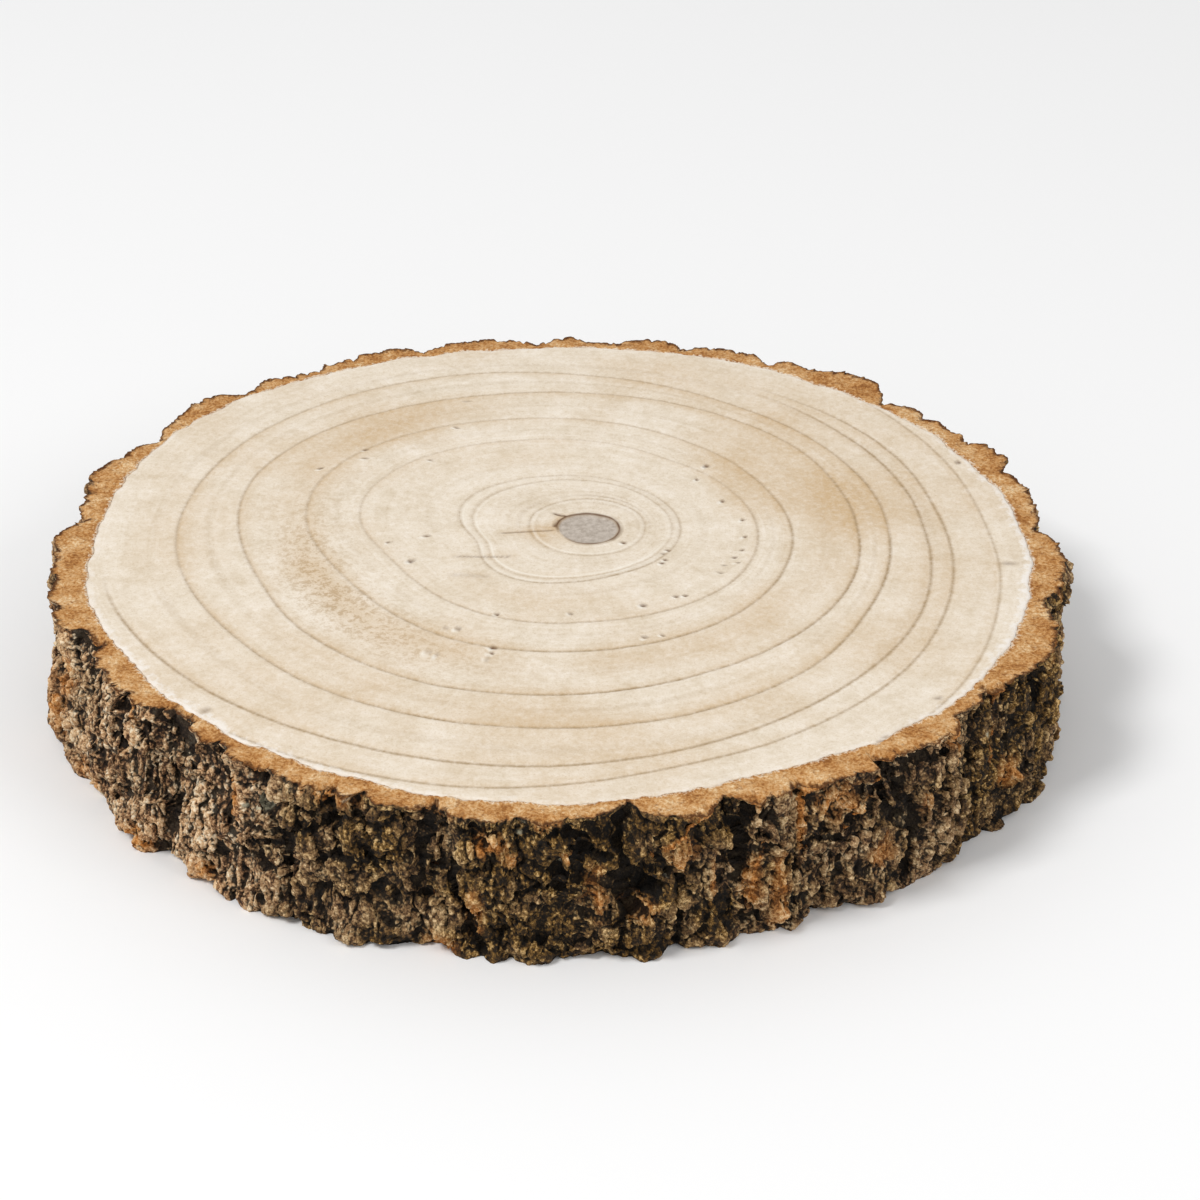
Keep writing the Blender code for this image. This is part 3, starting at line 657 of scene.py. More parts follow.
def wood_fields(x, y, degrees, distance, place, radii, upper):
    """Marks of the sawn face at its points: lines, stains, pits, drying cracks, pith and cambium. Lines fade
    with the distance from a ring as exp(-(distance / width)^2). The three outer rings are given as
    millimetres past each ring."""
    flat = np.stack([x, y, np.full_like(x, 0.0 if upper else 0.3)], -1)
    ragged = 0.5 + 0.5 * value_noise(flat, 0.014, 11)
    facing = np.cos(np.radians(degrees - 285))
    line = np.zeros_like(x)
    stain = np.zeros_like(x)
    for number, strength in LINE_STRENGTHS.items():
        past = distance - radii[number]
        near = 0.85 + 0.25 * facing if number > 3 else 1.0
        drawn = near * strength * (0.60 + 0.40 * ragged) * np.exp(-((past / LINE_WIDTH) ** 2))
        line = np.maximum(line, drawn)
        late = np.clip(1 + past / 0.0055, 0, 1) * (past < 0)
        stain += 0.45 * strength * late**2
    for at, strength in FAINT_RINGS:
        line = np.maximum(line, strength * ragged * np.exp(-(((place - at) / 0.05) ** 2)))
    pale = np.zeros_like(x)
    for number, strength in PALE_STRENGTHS.items():
        past = distance - radii[number] + PALE_INSIDE
        pale = np.maximum(pale, strength * np.exp(-((past / PALE_WIDTH) ** 2)))
    pale *= 0.25 + 0.75 * np.clip(1.3 - (wrapped(degrees - 250) / 85) ** 2, 0, 1)
    marks = {}
    turned = OUTER_SHOWN[0] + (degrees - OUTER_SHOWN[0]) % 360
    shown = np.clip((turned - OUTER_SHOWN[0]) / 12, 0, 1) * np.clip((OUTER_SHOWN[1] - turned) / 30, 0, 1)
    for label, readings in OUTER_RINGS.items():
        past = distance - smooth_round(degrees, readings)
        marks[label] = past / MM
        stain += 0.30 * shown * np.clip(1 + past / 0.005, 0, 1) ** 2 * (past < 0)
    for direction, middle, half_length, half_width, strength in STAINS:
        across = (distance - middle * READING_SCALE * MM) / (half_width * MM)
        along = wrapped(degrees - direction) * np.radians(1) * distance / (half_length * MM)
        stain += strength * np.exp(-(across**2) - along**2)
    stain += 0.24 * layered_noise(flat, 0.024, 21, 3) - 0.30 * np.exp(-((distance / 0.030) ** 2))
    pit = np.zeros_like(x)
    for direction, away, size in PITS:
        at = from_pith(direction, away * READING_SCALE * MM)
        pit = np.maximum(pit, np.clip(1.3 - np.hypot(x - at[0], y - at[1]) / (0.75 * size * MM), 0, 0.9))
        flake = np.hypot(x - at[0] + 0.0007, y - at[1] + 0.0008) / (0.7 * size * MM)
        pale = np.maximum(pale, np.clip(1.5 - 1.2 * flake, 0, 0.9))
    for first_turn, first_away, last_turn, last_away, half_width, dark in CHECKS:
        start = from_pith(first_turn, first_away * READING_SCALE * MM)
        end = from_pith(last_turn, last_away * READING_SCALE * MM)
        away = segment_distance(x, y, start, end)
        pit = np.maximum(pit, dark * np.exp(-((away / (half_width * MM)) ** 2)))
        stain += 0.5 * dark * np.exp(-((away / 0.0025) ** 2)) * (distance < 0.06)
    rim_radius = radii[1] + 0.0003 * layered_noise(flat, 0.005, 41, 2)
    pith = np.clip((rim_radius - distance) / 0.0004, 0, 1)
    rim = np.exp(-(((distance - rim_radius - 0.0003) / 0.00045) ** 2))
    open_side = np.exp(-((wrapped(degrees - 205) / 28) ** 2))
    rim_dark = np.clip(0.95 - 0.95 * open_side + 0.25 * value_noise(flat, 0.003, 46), 0, 1)
    pit = np.maximum(pit, rim * rim_dark)
    stain += 0.5 * np.exp(-(((distance - radii[1]) / 0.002) ** 2))
    inward = radii[9] - distance
    wide = np.exp(-((wrapped(degrees - 350) / 35) ** 2))
    wide += 0.8 * np.exp(-((wrapped(degrees - 222) / 26) ** 2))
    speckle = np.exp(-(((distance - 0.072) / 0.009) ** 2))
    speckle *= np.exp(-((wrapped(degrees - 208) / 34) ** 2))
    around = np.clip(1 - inward / 0.010, 0, 1)
    return marks | {
        "ring_line": line,
        "pale_line": pale,
        "outer_shown": shown,
        "stain": np.clip(stain, 0, 1),
        "pit": np.clip(pit, 0, 1),
        "pith": pith,
        "inward": inward / MM,
        "cambium": np.clip(0.40 + 0.60 * wide, 0, 1),
        "growth": place + 0.3 * around,
        "speckle": speckle,
    }


def wood_face(spacing, upper):
    """One sawn face: columns turn about the pith, and rows lie between the rings at their share of the way.
    It is level, less a shallow groove at each ring, the pits, and the pith dished by 0.4 mm."""
    place = ring_rows(spacing)[1:, None]
    degrees = np.arange(WOOD_COLUMNS)[None, :] * 360 / WOOD_COLUMNS
    table = [np.zeros(WOOD_COLUMNS)] + [smooth_round(degrees[0], ring) for ring in MAIN_RINGS]
    table.append(border_from_pith(degrees[0]) - 0.00003)
    radii = np.array(table)
    number = np.minimum(np.floor(place[:, 0]).astype(int), len(radii) - 2)
    share = place[:, 0] - number
    distance = radii[number] * (1 - share[:, None]) + radii[number + 1] * share[:, None]
    degrees = np.broadcast_to(degrees, distance.shape)
    x, y = from_pith(degrees, distance)
    fields = wood_fields(x, y, degrees, distance, place, radii, upper)
    dish = PITH_DISH * np.clip((radii[1] - distance) / 0.0006, 0, 1)
    groove = 0.00022 * fields["ring_line"] + 0.00040 * fields["pit"] * (distance > 0.009)
    for label in OUTER_RINGS:
        groove += 0.00016 * fields["outer_shown"] * np.exp(-((fields[label] / 0.8) ** 2))
    flat = np.stack([x, y, np.zeros_like(x)], -1)
    waver = SAWN_WAVER * (1 + layered_noise(flat, 0.006, 51, 2))
    rounding = 0.0003 * np.clip(1 - (radii[9] - distance) / 0.0005, 0, 1)
    depth = dish + groove + waver + rounding
    z = THICKNESS - depth if upper else depth
    return np.stack([x, y, z], -1), fields


def make_wood(material):
    """The wood as one closed skin: pith pole, upper face, wall, lower face and pith pole."""
    above, marks_above = wood_face(WOOD_ROW, True)
    below, marks_below = wood_face(WOOD_ROW_BELOW, False)
    below = below[::-1]
    wall = [above[-1] + (below[0] - above[-1]) * share for share in (0.25, 0.5, 0.75)]
    grid = np.concatenate([above, wall, below])
    rows, columns = grid.shape[:2]
    poles = np.array([
        (*PITH_CENTRE, THICKNESS - PITH_DISH - SAWN_WAVER),
        (*PITH_CENTRE, PITH_DISH + SAWN_WAVER),
    ])
    points = np.concatenate([grid.reshape(-1, 3), poles])
    index = np.arange(rows * columns).reshape(rows, columns)
    onward = np.roll(index, -1, axis=1)
    quads = np.stack([index[:-1], index[1:], onward[1:], onward[:-1]], -1).reshape(-1, 4)
    top, bottom = rows * columns, rows * columns + 1
    faces = quads.tolist()
    faces += [(top, a, b) for a, b in zip(index[0].tolist(), onward[0].tolist())]
    faces += [(bottom, b, a) for a, b in zip(index[-1].tolist(), onward[-1].tolist())]
    attributes = {}
    for label in marks_above:
        between = np.zeros((3, columns))
        field = np.concatenate([marks_above[label], between, marks_below[label][::-1]])
        at_pole = 1.0 if label == "pith" else 0.0
        attributes[label] = np.append(field.ravel(), [at_pole, at_pole])
    return new_piece("wood_slice", points, faces, attributes, [material])


def crack_lines(points, cell, seed, width):
    """Thin lines where a noise field crosses zero: exp(-(noise / width)^2), broken by a second field."""
    field = layered_noise(points, cell, seed, 2)
    shown = np.clip(0.6 + 1.6 * value_noise(points, cell * 1.3, seed + 7), 0, 1)
    return shown * np.exp(-((field / width) ** 2))


def broken_pieces(points, kind):
    """Broken pieces: each stands out by its own random step, is crowned, and a gap parts it from the next.
    Returns how far they stand out, their tones and the gaps."""
    stretch, cell, seed, step, crown, gap, gap_width = BROKEN[kind]
    nearest, second, tone = grains(points * stretch, cell, seed)
    apart = np.clip((second - nearest) / gap_width, 0, 1)
    return apart * step * (tone - 0.5) - crown * nearest**2 - gap * (1 - apart), tone, 1 - apart


def fine_bark(points, degrees, height):
    """Craggy grain on the bark's side: slabs, chips and corky grains that each stand out by their own step,
    upright and cross cracks, and holes. Where the bark is fibrous, tall pieces with grooves in them take the
    place of most of the slabs and chips, and the grains are long. Returns how far each point stands out,
    and the fields that its colour needs."""
    warp = np.stack([layered_noise(points, 0.0040, seed, 2) for seed in (81, 84, 87)], -1)
    bent = points + 0.0012 * warp
    slab, slab_tone, slab_gap = broken_pieces(bent, "slab")
    chip, chip_tone, chip_gap = broken_pieces(bent, "chip")
    tall, tall_tone, tall_gap = broken_pieces(bent, "tall")
    near = points + 0.00045 * warp[..., ::-1]
    round_grain, round_tone, round_gap = broken_pieces(near, "round_grain")
    long_grain, long_tone, long_gap = broken_pieces(near, "long_grain")
    upright = crack_lines(bent * [1, 1, 0.35], 0.0052, 101, 0.08)
    cross = crack_lines(bent * [1, 1, 1.5], 0.0062, 111, 0.05)
    hole = np.clip(layered_noise(bent * [1, 1, 0.6], 0.0085, 131, 2) * 2.2 - 1.15, 0, 1)
    groove = 1 - np.clip(5 * np.abs(layered_noise(bent * [1, 1, 0.10], 0.0034, 161, 2)), 0, 1)
    fibrous = 0.15 + 1.0 * value_noise(points, 0.021, 171)
    for direction, half_width, strength in FIBROUS:
        fibrous += strength * np.exp(-((wrapped(degrees - direction) / half_width) ** 2))
    fibrous = np.clip(fibrous, 0, 1)
    grain = round_grain + fibrous * (long_grain - round_grain)
    grain_tone = round_tone + fibrous * (long_tone - round_tone)
    grain_gap = round_gap + fibrous * (long_gap - round_gap)
    calm = 0.5 + 0.5 * np.clip(height / 0.004, 0, 1)
    blocky = slab + chip
    torn = 0.45 * slab + tall - 0.0010 * groove
    out = calm * (blocky + fibrous * (torn - blocky)) + grain
    out -= 0.0020 * upright * (0.3 + 0.7 * fibrous) + 0.0010 * cross * (1 - 0.7 * fibrous) + 0.0024 * hole
    chip_tone = chip_tone + fibrous * (tall_tone - chip_tone)
    chip_gap = 0.5 * chip_gap + fibrous * (1.6 * tall_gap + 1.1 * groove - 0.5 * chip_gap)
    tone = 0.60 * grain_tone + 0.28 * chip_tone + 0.12 * slab_tone
    crack = 0.9 * upright + 0.8 * cross * (1 - 0.7 * fibrous) + 0.85 * grain_gap + chip_gap + 0.9 * slab_gap
    crack += 0.7 * hole
    return out, {"tone": np.clip(0.5 + 2.0 * (tone - 0.5), 0, 1), "crack": crack}


def undercut_depth(degrees, height):
    """How far the bark has fallen in at the upper edge: flat-bottomed hollows, most of them below it."""
    down = THICKNESS - height
    depth = np.zeros_like(height)
    for direction, half_width, deepest, reach, opening in UNDERCUTS:
        away = np.abs(arc_from(direction, degrees)) / (half_width * MM)
        fall = np.clip(opening + down / 0.0016, 0, 1) * np.clip(1.3 - 1.3 * down / (reach * MM), 0, 1)
        depth = np.maximum(depth, deepest * MM * np.clip(1.6 - 1.6 * away**2, 0, 1) * fall)
    return depth


def chip_depth(degrees):
    """How far the upper sawn edge has broken away at each direction: rounded notches of uneven depth."""
    depth = np.zeros_like(degrees)
    for direction, half_width, deepest in CHIPS:
        away = np.abs(arc_from(direction, degrees)) / (half_width * MM)
        depth = np.maximum(depth, deepest * MM * np.clip(1 - away**3, 0, 1))
    ring = edge_ring(degrees)
    nicks = np.clip(layered_noise(ring, 0.0032, 181, 3) - 0.15, 0, 1)
    return depth * (0.75 + 0.4 * value_noise(ring, 0.002, 186)) + 0.0011 * nicks


def rust_patches(degrees, height):
    """Strength of the flaked places: full in the inner half of each, and fading out beyond."""
    rust = np.zeros_like(height)
    for direction, middle, half_width, half_height, strength in RUST:
        across = arc_from(direction, degrees) / (half_width * MM)
        up = (height - middle * MM) / (half_height * MM)
        rust = np.maximum(rust, strength * np.clip(1.5 - np.hypot(across, up), 0, 1))
    return rust


def lichen_specks(degrees, height):
    """Strength of the lichen: round specks with a soft edge."""
    lichen = np.zeros_like(height)
    for direction, middle, radius in LICHEN:
        away = np.hypot(arc_from(direction, degrees), height - middle * MM) / (radius * MM)
        lichen = np.maximum(lichen, np.clip(2.5 - 2.0 * away, 0, 1))
    return lichen


def bark_marks(side, degrees, height, plain, grain, cuts):
    """Fields that the bark's colour needs. Painted shade, with the dark dirt of the cracks, gathers where a
    place lies deeper than its surroundings, in windows of three sizes, and in each cut; its upper and lower
    tenth set the scale."""
    relief = from_centre(side) - edge_radius(degrees)
    shade_and_dirt = np.zeros_like(relief)
    # Painted shade: a place darkens by as much as it lies below the average of its surroundings
    for window, depth in ((2, 0.0005), (7, 0.0014), (30, 0.0048)):
        shade_and_dirt += (blurred(relief, window, window) - relief) / depth
    shade_and_dirt += 1.5 * grain["crack"] + 0.8 * cuts["joint"] + 1.5 * np.clip(cuts["crack"] / 0.0013, 0, 1)
    shade_and_dirt += 0.9 * np.clip(cuts["undercut"] / 0.0020, 0, 1.8) + 1.6 * np.clip(cuts["crevice"] / 0.0018, 0, 1)
    shade_and_dirt -= 1.6 * cuts["lip"] / 0.0008
    rust = rust_patches(degrees, height)
    shade_and_dirt -= 2.2 * rust
    low, high = np.percentile(shade_and_dirt, (10, 90))
    fresh = cuts["chip"] / 0.0016 * np.clip(1 - (THICKNESS - height) / (0.0005 + 2.2 * cuts["chip"]), 0, 1)
    breaks = 0.5 + 0.9 * layered_noise(plain, 0.0026, 201, 3)
    flaked = rust * np.clip(breaks, 0.45, 1) * 1.4 + fresh + 1.3 * cuts["lip"] / 0.0009
    return {
        "tone": grain["tone"],
        # Painted shade of the hollows and cracks, with the dark dirt in them
        "hollow_shade_and_dirt": np.clip((shade_and_dirt - low) / (high - low), 0, 1.3),
        # Pale weathered bark, and painted light on the side that faces the key light
        "pale": read_round(degrees, LIT_SIDE_PALENESS) + 0.30 * layered_noise(plain, 0.009, 221, 3),
        "rust": np.clip(flaked, 0, 1),
        "lichen": lichen_specks(degrees, height) * np.clip(0.8 + breaks, 0, 1),
    }


def bark_grid():
    """The bark's side as rows and columns: the solids' shape, with the grain standing out from it. Near the
    sawn faces the grain stands straight out, so that the sawn outline stays clean."""
    columns = even_columns()
    degrees, height = np.meshgrid(columns, np.linspace(THICKNESS, 0, BARK_ROWS + 1))
    plain = side_points(degrees, height, np.zeros_like(height))
    lean = 0.40 * layered_noise(plain, 0.007, 61, 3)
    rise = 0.0012 * layered_noise(plain, 0.007, 64, 3)
    thickness, joint = bark_thickness(degrees + lean, np.clip(height + rise, 0, THICKNESS))
    cuts = {"joint": joint}
    for label, lines in (("crack", CRACKS), ("crevice", CREVICES), ("lip", LIPS)):
        cuts[label] = line_depth(degrees + lean, height + rise, lines)
    cuts["crack"] *= np.clip((THICKNESS - height) / 0.004, 0.35, 1)
    cuts["undercut"] = undercut_depth(degrees + 2 * lean, height + rise)
    cuts["chip"] = chip_depth(columns)
    thickness = blurred(thickness, 1, 2) - cuts["undercut"] - cuts["crack"] + cuts["lip"]
    coarse = side_points(degrees, height, np.maximum(THINNEST_BARK, thickness))
    along = np.roll(coarse, -1, axis=1) - np.roll(coarse, 1, axis=1)
    down = np.gradient(coarse, axis=0)
    normals = np.cross(down, along)
    normals /= np.linalg.norm(normals, axis=-1, keepdims=True)
    outward = side_points(degrees, height, 1.0 - edge_radius(degrees)) - [*EDGE_CENTRE, 0]
    outward = outward * [1, 1, 0]
    inside = np.clip(np.minimum(height, THICKNESS - height) / 0.003, 0, 1)[..., None]
    normals = normals * inside + outward * (1 - inside)
    out, grain = fine_bark(coarse, degrees, height)
    side = coarse + out[..., None] * normals * (0.55 + 0.45 * inside)
    ragged = 0.0011 + 0.0009 * layered_noise(plain, 0.0022, 191, 3)
    push = np.maximum(1, (border_radius(degrees) + ragged) / from_centre(side))
    side[..., 0] = EDGE_CENTRE[0] + (side[..., 0] - EDGE_CENTRE[0]) * push
    side[..., 1] = EDGE_CENTRE[1] + (side[..., 1] - EDGE_CENTRE[1]) * push
    side[..., 2] -= cuts["chip"] * np.clip(1 - (THICKNESS - height) / 0.006, 0, 1)
    return side, bark_marks(side, degrees, height, plain, grain, cuts), degrees


def sawn_rows(edge, degrees, upper):
    """A sawn face of the bark: rows from the side's edge in to the border, crowded at the edge. It is level,
    less a fine roughness, and dips to the edge where that has chipped."""
    count = SAWN_ROWS if upper else SAWN_ROWS_BELOW
    share = (np.arange(1, count + 1) / count)[:, None] ** 1.3
    inner = border_radius(degrees)
    turn = np.radians(degrees)
    border = np.stack([EDGE_CENTRE[0] + inner * np.cos(turn), EDGE_CENTRE[1] + inner * np.sin(turn)], -1)
    flat = edge[None, :, :2] * (1 - share[..., None]) + border[None] * share[..., None]
    inset = np.linalg.norm(flat - edge[None, :, :2], axis=-1)
    width = np.linalg.norm(border - edge[:, :2], axis=-1)[None]
    spread = np.dstack([flat, np.zeros(flat.shape[:2])])
    rough = 0.00022 * (1 + layered_noise(spread, 0.0024, 211, 3)) * np.clip(inset / 0.0006, 0.2, 1)
    drop = THICKNESS - edge[None, :, 2] if upper else edge[None, :, 2]
    reach = np.minimum(0.0010 + 1.6 * drop, 0.8 * width)
    depth = rough + drop * np.clip(1 - inset / reach, 0, 1) ** 1.5
    z = THICKNESS - depth if upper else depth
    return np.concatenate([flat, z[..., None]], -1), inset, share * np.ones_like(inset)


def make_bark(weathered, sawn):
    """The ring of bark, in closed sectors that meet in furrows. The skin runs over the upper sawn face, down
    the side, back under the lower face and up the inner wall."""
    side, fields, degrees = bark_grid()
    low, high = (np.array(corner) for corner in CAD_BOX)
    above, inset_above, share_above = sawn_rows(side[0], degrees[0], True)
    below, inset_below, share_below = sawn_rows(side[-1], degrees[0], False)
    grid = np.concatenate([above[::-1], side, below])
    grid = np.clip(grid, low + 0.00002, high - 0.00002)
    rows_above, rows_side, rows_below = len(above), len(side), len(below)
    none = np.zeros(side.shape[:2])
    layers = {
        "inset": np.concatenate([inset_above[::-1], none, inset_below]) / MM,
        "across": np.concatenate([share_above[::-1], none, share_below]),
    }
    for label, field in fields.items():
        edge_above = np.repeat(field[:1], rows_above, axis=0)
        edge_below = np.repeat(field[-1:], rows_below, axis=0)
        layers[label] = np.concatenate([edge_above, field, edge_below])
    ends = [int(np.argmin(np.abs(degrees[0] - end))) for end in SECTOR_ENDS]
    rows = len(grid)
    pieces = []
    for name, first, last in zip(SECTOR_NAMES, ends, ends[1:] + [ends[0] + BARK_COLUMNS]):
        columns = np.arange(first, last + 1) % BARK_COLUMNS
        part = grid[:, columns]
        index = np.arange(rows * len(columns)).reshape(rows, len(columns))
        closed = np.concatenate([index, index[:1]])
        quads = np.stack([closed[:-1, :-1], closed[1:, :-1], closed[1:, 1:], closed[:-1, 1:]], -1)
        caps = [index[::-1, 0].tolist(), index[:, -1].tolist()]
        faces = quads.reshape(-1, 4).tolist() + caps
        attributes = {label: field[:, columns].ravel() for label, field in layers.items()}
        piece = new_piece(name, part.reshape(-1, 3), faces, attributes, [weathered, sawn])
        face_row = np.arange(rows)[:, None]
        is_sawn = (face_row < rows_above) | (face_row >= rows_above + rows_side - 1)
        slots = np.broadcast_to(is_sawn, (rows, len(columns) - 1)).astype(np.int32).ravel()
        piece.data.polygons.foreach_set("material_index", np.append(slots, [1, 1]).astype(np.int32))
        pieces.append(piece)
    return pieces


def new_material(name):
    """A new material, its node tree, and the place of each point in metres."""
    material = bpy.data.materials.new(name)
    material.use_nodes = True
    tree = material.node_tree
    return material, tree, add(tree, "TexCoord", out="Object")


def finish_material(tree, colour, roughness, specular, height, strength, distance):
    """Gives a material its colour, its gloss, and a bump of a height pattern."""
    shader = tree.nodes["Principled BSDF"]
    tree.links.new(colour, shader.inputs["Base Color"])
    shader.inputs["Roughness"].default_value = roughness
    shader.inputs["Specular IOR Level"].default_value = specular
    bump = add(tree, "Bump", {"Height": height, "Strength": strength, "Distance": distance})
    tree.links.new(bump, shader.inputs["Normal"])


def paulownia_end_grain():
    """Paulownia sawn across the grain: pale cream and matt, with fine pores, brown ring lines, darker late
    wood before each, a grey pith, and a ragged whitish line of cambium next to the bark."""
    material, tree, place = new_material("sawn_paulownia_end_grain")
    names = (
        "ring_line", "pale_line", "outer_shown", "seventh", "eighth", "ninth", "stain", "pit", "pith",
        "inward", "cambium", "growth", "speckle",
    )
    marks = {name: add(tree, "Attribute", out="Fac", attribute_name=name) for name in names}
    # Soft mottling 9 mm across
    cloud = add(tree, "TexNoise", {"Vector": place, "Scale": 1 / 0.009, "Detail": 4.0, "Roughness": 0.6})
    # Rays run out from the pith, 1.5 degrees wide and 20 mm long
    from_middle = add(tree, "VectorMath", (place, (*PITH_CENTRE, THICKNESS)), operation="SUBTRACT")
    heading = add(tree, "VectorMath", (from_middle,), operation="NORMALIZE")
    bearing = add(tree, "VectorMath", (heading, (38.0, 38.0, 38.0)), operation="MULTIPLY")
    along_ray = add(tree, "VectorMath", (from_middle, (50.0, 50.0, 50.0), bearing), operation="MULTIPLY_ADD")
    rays = add(tree, "TexNoise", {"Vector": along_ray, "Scale": 1.0, "Detail": 2.0})
    # Years of growth show as faint bands between the rings
    years = {"W": marks["growth"], "Scale": 7.0, "Detail": 3.0, "Roughness": 0.7}
    bands = add(tree, "TexNoise", years, noise_dimensions="1D")
    # Saw marks lie straight across, 1.3 mm apart
    swept = add(tree, "VectorMath", (place, (25.0, 760.0, 25.0)), operation="MULTIPLY")
    sawn = add(tree, "TexNoise", {"Vector": swept, "Scale": 1.0, "Detail": 2.0})
    # Torn fibre ends, 1.4 mm across
    fibres = add(tree, "TexNoise", {"Vector": place, "Scale": 1 / 0.0014, "Detail": 4.0, "Roughness": 0.7})
    tone = cloud
    for pattern, share in ((rays, 0.18), (bands, 0.24), (sawn, 0.06), (fibres, 0.40)):
        tone = add(tree, "Mix", {0: share, 2: tone, 3: pattern}, data_type="FLOAT")
    colour = add(tree, "ValToRGB", (tone,), stops=((0.36, "#D4C4AC"), (0.64, "#F0E6D8"), (0.50, "#E4D7C4")))
    # A range is read as value, from low, from high, to low, to high
    stain_break = add(tree, "MapRange", (fibres, 0.35, 0.65, 1.2, 0.7))
    stain = add(tree, "Math", (marks["stain"], stain_break), operation="MULTIPLY", use_clamp=True)
    # Pores are 0.2 mm across and are drawn 0.5 mm wide, so that they show
    pores = add(tree, "TexNoise", {"Vector": place, "Scale": 1 / 0.0005, "Detail": 2.0, "Roughness": 0.7})
    pore_dark = add(tree, "MapRange", (pores, 0.54, 0.72, 0.0, 0.28))
    speckle_dark = add(tree, "MapRange", (fibres, 0.50, 0.42, 0.0, 0.50))
    speckle = add(tree, "Math", (marks["speckle"], speckle_dark), operation="MULTIPLY", use_clamp=True)
    dotted = add(tree, "Math", (speckle, pore_dark), operation="MAXIMUM")
    # The outer rings, half width in millimetres and strength: the first is the boldest
    outer = 0.0
    for name, half_width, strength in (("seventh", 0.8, 0.80), ("eighth", 0.75, 0.70), ("ninth", 0.7, 0.50)):
        apart = add(tree, "Math", (marks[name],), operation="ABSOLUTE")
        line = add(tree, "MapRange", (apart, 0.0, half_width, strength, 0.0))
        outer = add(tree, "Math", (line, outer), operation="MAXIMUM")
    outer = add(tree, "Math", (outer, marks["outer_shown"]), operation="MULTIPLY")
    drawn = add(tree, "Math", (outer, marks["ring_line"]), operation="MAXIMUM")
    uneven = add(tree, "MapRange", (fibres, 0.35, 0.65, 1.15, 0.6))
    drawn = add(tree, "Math", (drawn, uneven), operation="MULTIPLY", use_clamp=True)
    # Cambium: a whitish line up to 2.5 mm wide, frayed by the torn fibres
    torn = add(tree, "TexNoise", {"Vector": place, "Scale": 1 / 0.003, "Detail": 4.0, "Roughness": 0.75})
    frayed = add(tree, "Math", (torn, 10.0, marks["inward"]), operation="MULTIPLY_ADD")
    frayed = add(tree, "Math", (marks["cambium"], -2.2, frayed), operation="MULTIPLY_ADD")
    band = add(tree, "MapRange", (frayed, 3.6, 5.4, 0.8, 0.0))
    cambium = add(tree, "Math", (band, marks["cambium"]), operation="MULTIPLY", use_clamp=True)
    corky = add(tree, "ValToRGB", (fibres,), stops=((0.34, "#A4988B"), (0.66, "#C6BBAF")))
    # Each colour covers the ones before it by its own share
    for share, layer in (
        (stain, linear("#CCB08A")),
        (dotted, linear("#A98A62")),
        (marks["pale_line"], linear("#F6F0E4")),
        (drawn, linear("#9C825F")),
        (cambium, linear("#F1ECE6")),
        (marks["pith"], corky),
        (marks["pit"], linear("#5F3E20")),
    ):
        colour = add(tree, "Mix", {0: share, 6: colour, 7: layer}, 2, data_type="RGBA")
    finish_material(tree, colour, 0.72, 0.25, fibres, 0.35, 0.0005)
    return material


def weathered_bark():
    """Corky outer bark: matt brown grains from umber to pale tan, black in the cracks between them from
    painted shade and dark dirt, greyer where it is smooth and fibrous, paler as painted light where it faces
    the key light, and rust-orange where it has flaked."""
    material, tree, place = new_material("weathered_corky_bark")
    names = ("hollow_shade_and_dirt", "tone", "rust", "pale", "lichen")
    marks = {name: add(tree, "Attribute", out="Fac", attribute_name=name) for name in names}
    # Fine cork grains 0.8 mm across, each with a tone of its own
    cork = add(tree, "TexVoronoi", {"Vector": place, "Scale": 1 / 0.0008, "Randomness": 1.0}, "Color")
    cork_apart = cork.node.outputs["Distance"]
    cork_tone = add(tree, "SeparateColor", (cork,), "Red")
    # Grit 0.6 mm across catches the light
    grit = add(tree, "TexNoise", {"Vector": place, "Scale": 1 / 0.0006, "Detail": 3.0, "Roughness": 0.75})
    both = add(tree, "Mix", {0: 0.38, 2: marks["tone"], 3: cork_tone}, data_type="FLOAT")
    spread = add(tree, "MapRange", (grit, 0.3, 0.7, -0.32, 0.32))
    grain_tone = add(tree, "Math", (both, spread), operation="ADD", use_clamp=True)
    tones = {
        "umber": (
            (0.08, "#140D05"), (1.0, "#E2BB7C"), (0.28, "#31220C"), (0.50, "#553C18"), (0.76, "#8C6831")
        ),
        "grey": (
            (0.10, "#3E2714"), (1.0, "#FFEED0"), (0.30, "#8B6443"), (0.50, "#C79C70"), (0.72, "#EDC799")
        ),
        "flaked": ((0.10, "#70400F"), (1.0, "#F8D2A0"), (0.45, "#C07B38"), (0.72, "#DCA262")),
    }
    ramps = {name: add(tree, "ValToRGB", (grain_tone,), stops=stops) for name, stops in tones.items()}
    # Painted shade: the hollows, the cracks and the gaps between the cork grains go towards black, with the
    # dark dirt that lies in them
    between = add(tree, "MapRange", (cork_apart, 0.35, 0.75, 0.0, 0.38))
    shade_and_dirt = add(tree, "Math", (marks["hollow_shade_and_dirt"], between), operation="ADD")
    dark = add(tree, "MapRange", (shade_and_dirt, 0.45, 0.92, 0.0, 0.94))
    crusty = add(tree, "MapRange", (grain_tone, 0.2, 0.6, 0.15, 0.85))
    crust = add(tree, "Math", (marks["lichen"], crusty), operation="MULTIPLY")
    # The pale layer is partly painted light on the side facing the key light; the near-black layer is painted
    # shade with dark dirt
    colour = ramps["umber"]
    for share, layer in (
        (marks["pale"], ramps["grey"]),
        (marks["rust"], ramps["flaked"]),
        (dark, linear("#0C0804")),
        (crust, linear("#B9B49A")),
    ):
        colour = add(tree, "Mix", {0: share, 6: colour, 7: layer}, 2, data_type="RGBA")
    raised = add(tree, "Math", (grit, cork_apart), operation="SUBTRACT")
    finish_material(tree, colour, 0.80, 0.30, raised, 0.9, 0.0005)
    return material


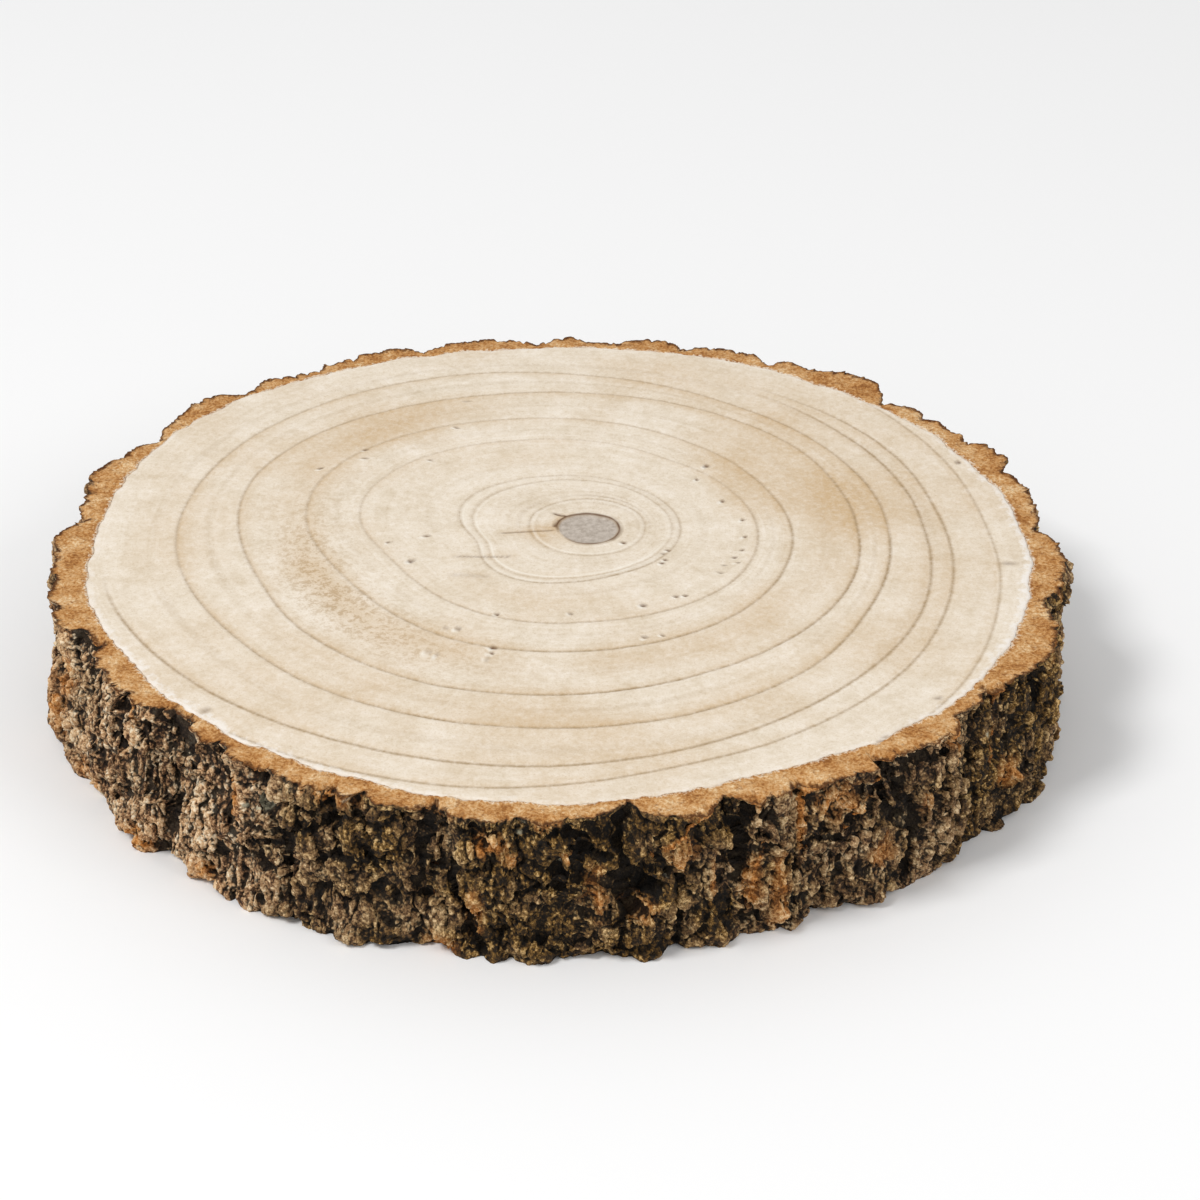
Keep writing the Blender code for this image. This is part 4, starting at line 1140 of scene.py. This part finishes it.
def sawn_bark():
    """Inner bark laid open by the saw: matt orange-tan granules with brown ones among them, a torn dark outer
    edge, and whitish bast next to the wood."""
    material, tree, place = new_material("sawn_inner_bark")
    across = add(tree, "Attribute", out="Fac", attribute_name="across")
    inset = add(tree, "Attribute", out="Fac", attribute_name="inset")
    # Clouds 6 mm across, granules 0.8 mm across, and dark stone cells 1.8 mm apart
    cloud = add(tree, "TexNoise", {"Vector": place, "Scale": 1 / 0.006, "Detail": 1.0, "Roughness": 0.5})
    granules = add(tree, "TexNoise", {"Vector": place, "Scale": 1 / 0.0008, "Detail": 3.0, "Roughness": 0.7})
    stones = add(tree, "TexNoise", {"Vector": place, "Scale": 1 / 0.0018, "Detail": 3.0, "Roughness": 0.8})
    mixed = add(tree, "Mix", {0: 0.62, 2: cloud, 3: granules}, data_type="FLOAT")
    stony = add(tree, "MapRange", (stones, 0.54, 0.68, 0.0, 0.80))
    torn = add(tree, "Math", (stones, -4.0, inset), operation="MULTIPLY_ADD")
    edge = add(tree, "MapRange", (torn, -1.75, -0.7, 0.95, 0.0))
    bast = add(tree, "Math", (granules, 0.55, across), operation="MULTIPLY_ADD")
    inner = add(tree, "MapRange", (bast, 1.19, 1.30, 0.0, 0.85))
    tans = ((0.34, "#8A5626"), (0.66, "#E8CBA0"), (0.43, "#AF7840"), (0.50, "#C6945C"), (0.57, "#D4A976"))
    colour = add(tree, "ValToRGB", (mixed,), stops=tans)
    for share, layer in ((stony, "#8C5A2C"), (edge, "#553217"), (inner, "#EBDCC8")):
        colour = add(tree, "Mix", {0: share, 6: colour, 7: linear(layer)}, 2, data_type="RGBA")
    finish_material(tree, colour, 0.85, 0.2, granules, 0.8, 0.0006)
    return material


# Camera, fitted to the outline of the slice in the picture
PICTURE_SIZE = 1200
FOCUS_PIXELS = 3577.5
TARGET = (0.0, -0.0011, 0.040)
TARGET_PIXEL = (557.5, 551.3)
CAMERA_DISTANCE = 0.900
CAMERA_ELEVATION = 29.5
SENSOR = 36.0

# Square soft lights: place, size in metres, power in watts
LIGHTS = {
    "key_light": ((-1.15, -0.75, 1.95), 0.7, 28.0),
    "fill_light": ((1.2, -0.9, 1.1), 0.8, 6.0),
}
SKY_STRENGTH = 0.59


def set_camera():
    """The camera looks along +Y and down at the slice, with the target at its pixel of the picture."""
    data = bpy.data.cameras.new("camera")
    data.sensor_width = SENSOR
    data.lens = SENSOR * FOCUS_PIXELS / PICTURE_SIZE
    data.shift_x = 0.5 - TARGET_PIXEL[0] / PICTURE_SIZE
    data.shift_y = TARGET_PIXEL[1] / PICTURE_SIZE - 0.5
    data.clip_start = 0.01
    camera = bpy.data.objects.new("camera", data)
    bpy.context.scene.collection.objects.link(camera)
    tilt = np.radians(CAMERA_ELEVATION)
    back, up = CAMERA_DISTANCE * np.cos(tilt), CAMERA_DISTANCE * np.sin(tilt)
    camera.location = (TARGET[0], TARGET[1] - back, TARGET[2] + up)
    camera.rotation_euler = (np.pi / 2 - tilt, 0, 0)
    bpy.context.scene.camera = camera


def area_light(name, place, size, power):
    """A square soft light at a place, facing the slice."""
    data = bpy.data.lights.new(name, "AREA")
    data.size = size
    data.energy = power
    light = bpy.data.objects.new(name, data)
    bpy.context.scene.collection.objects.link(light)
    light.location = place
    across = np.hypot(place[0], place[1])
    light.rotation_euler = (np.arctan2(across, place[2]), 0, np.arctan2(place[0], -place[1]))


def set_stage():
    """A plain near-white floor, an even white sky and two large soft lights."""
    bpy.ops.mesh.primitive_plane_add(size=8.0)
    floor = bpy.context.object
    floor.name = "floor"
    paint = bpy.data.materials.new("matt_white_floor")
    paint.use_nodes = True
    paint.node_tree.nodes["Principled BSDF"].inputs["Base Color"].default_value = linear("#F4F4F4")
    paint.node_tree.nodes["Principled BSDF"].inputs["Roughness"].default_value = 1.0
    floor.data.materials.append(paint)
    world = bpy.data.worlds.new("white_sky")
    world.use_nodes = True
    world.node_tree.nodes["Background"].inputs["Strength"].default_value = SKY_STRENGTH
    world.node_tree.nodes["Background"].inputs["Color"].default_value = (1.0, 1.0, 1.0, 1.0)
    bpy.context.scene.world = world
    for name, (place, size, power) in LIGHTS.items():
        area_light(name, place, size, power)
    bpy.context.scene.view_settings.view_transform = "Standard"


set_camera()
set_stage()
dress(make_wood(paulownia_end_grain()), "wood")
for sector in make_bark(weathered_bark(), sawn_bark()):
    dress(sector, "bark")

bpy.context.view_layer.update()
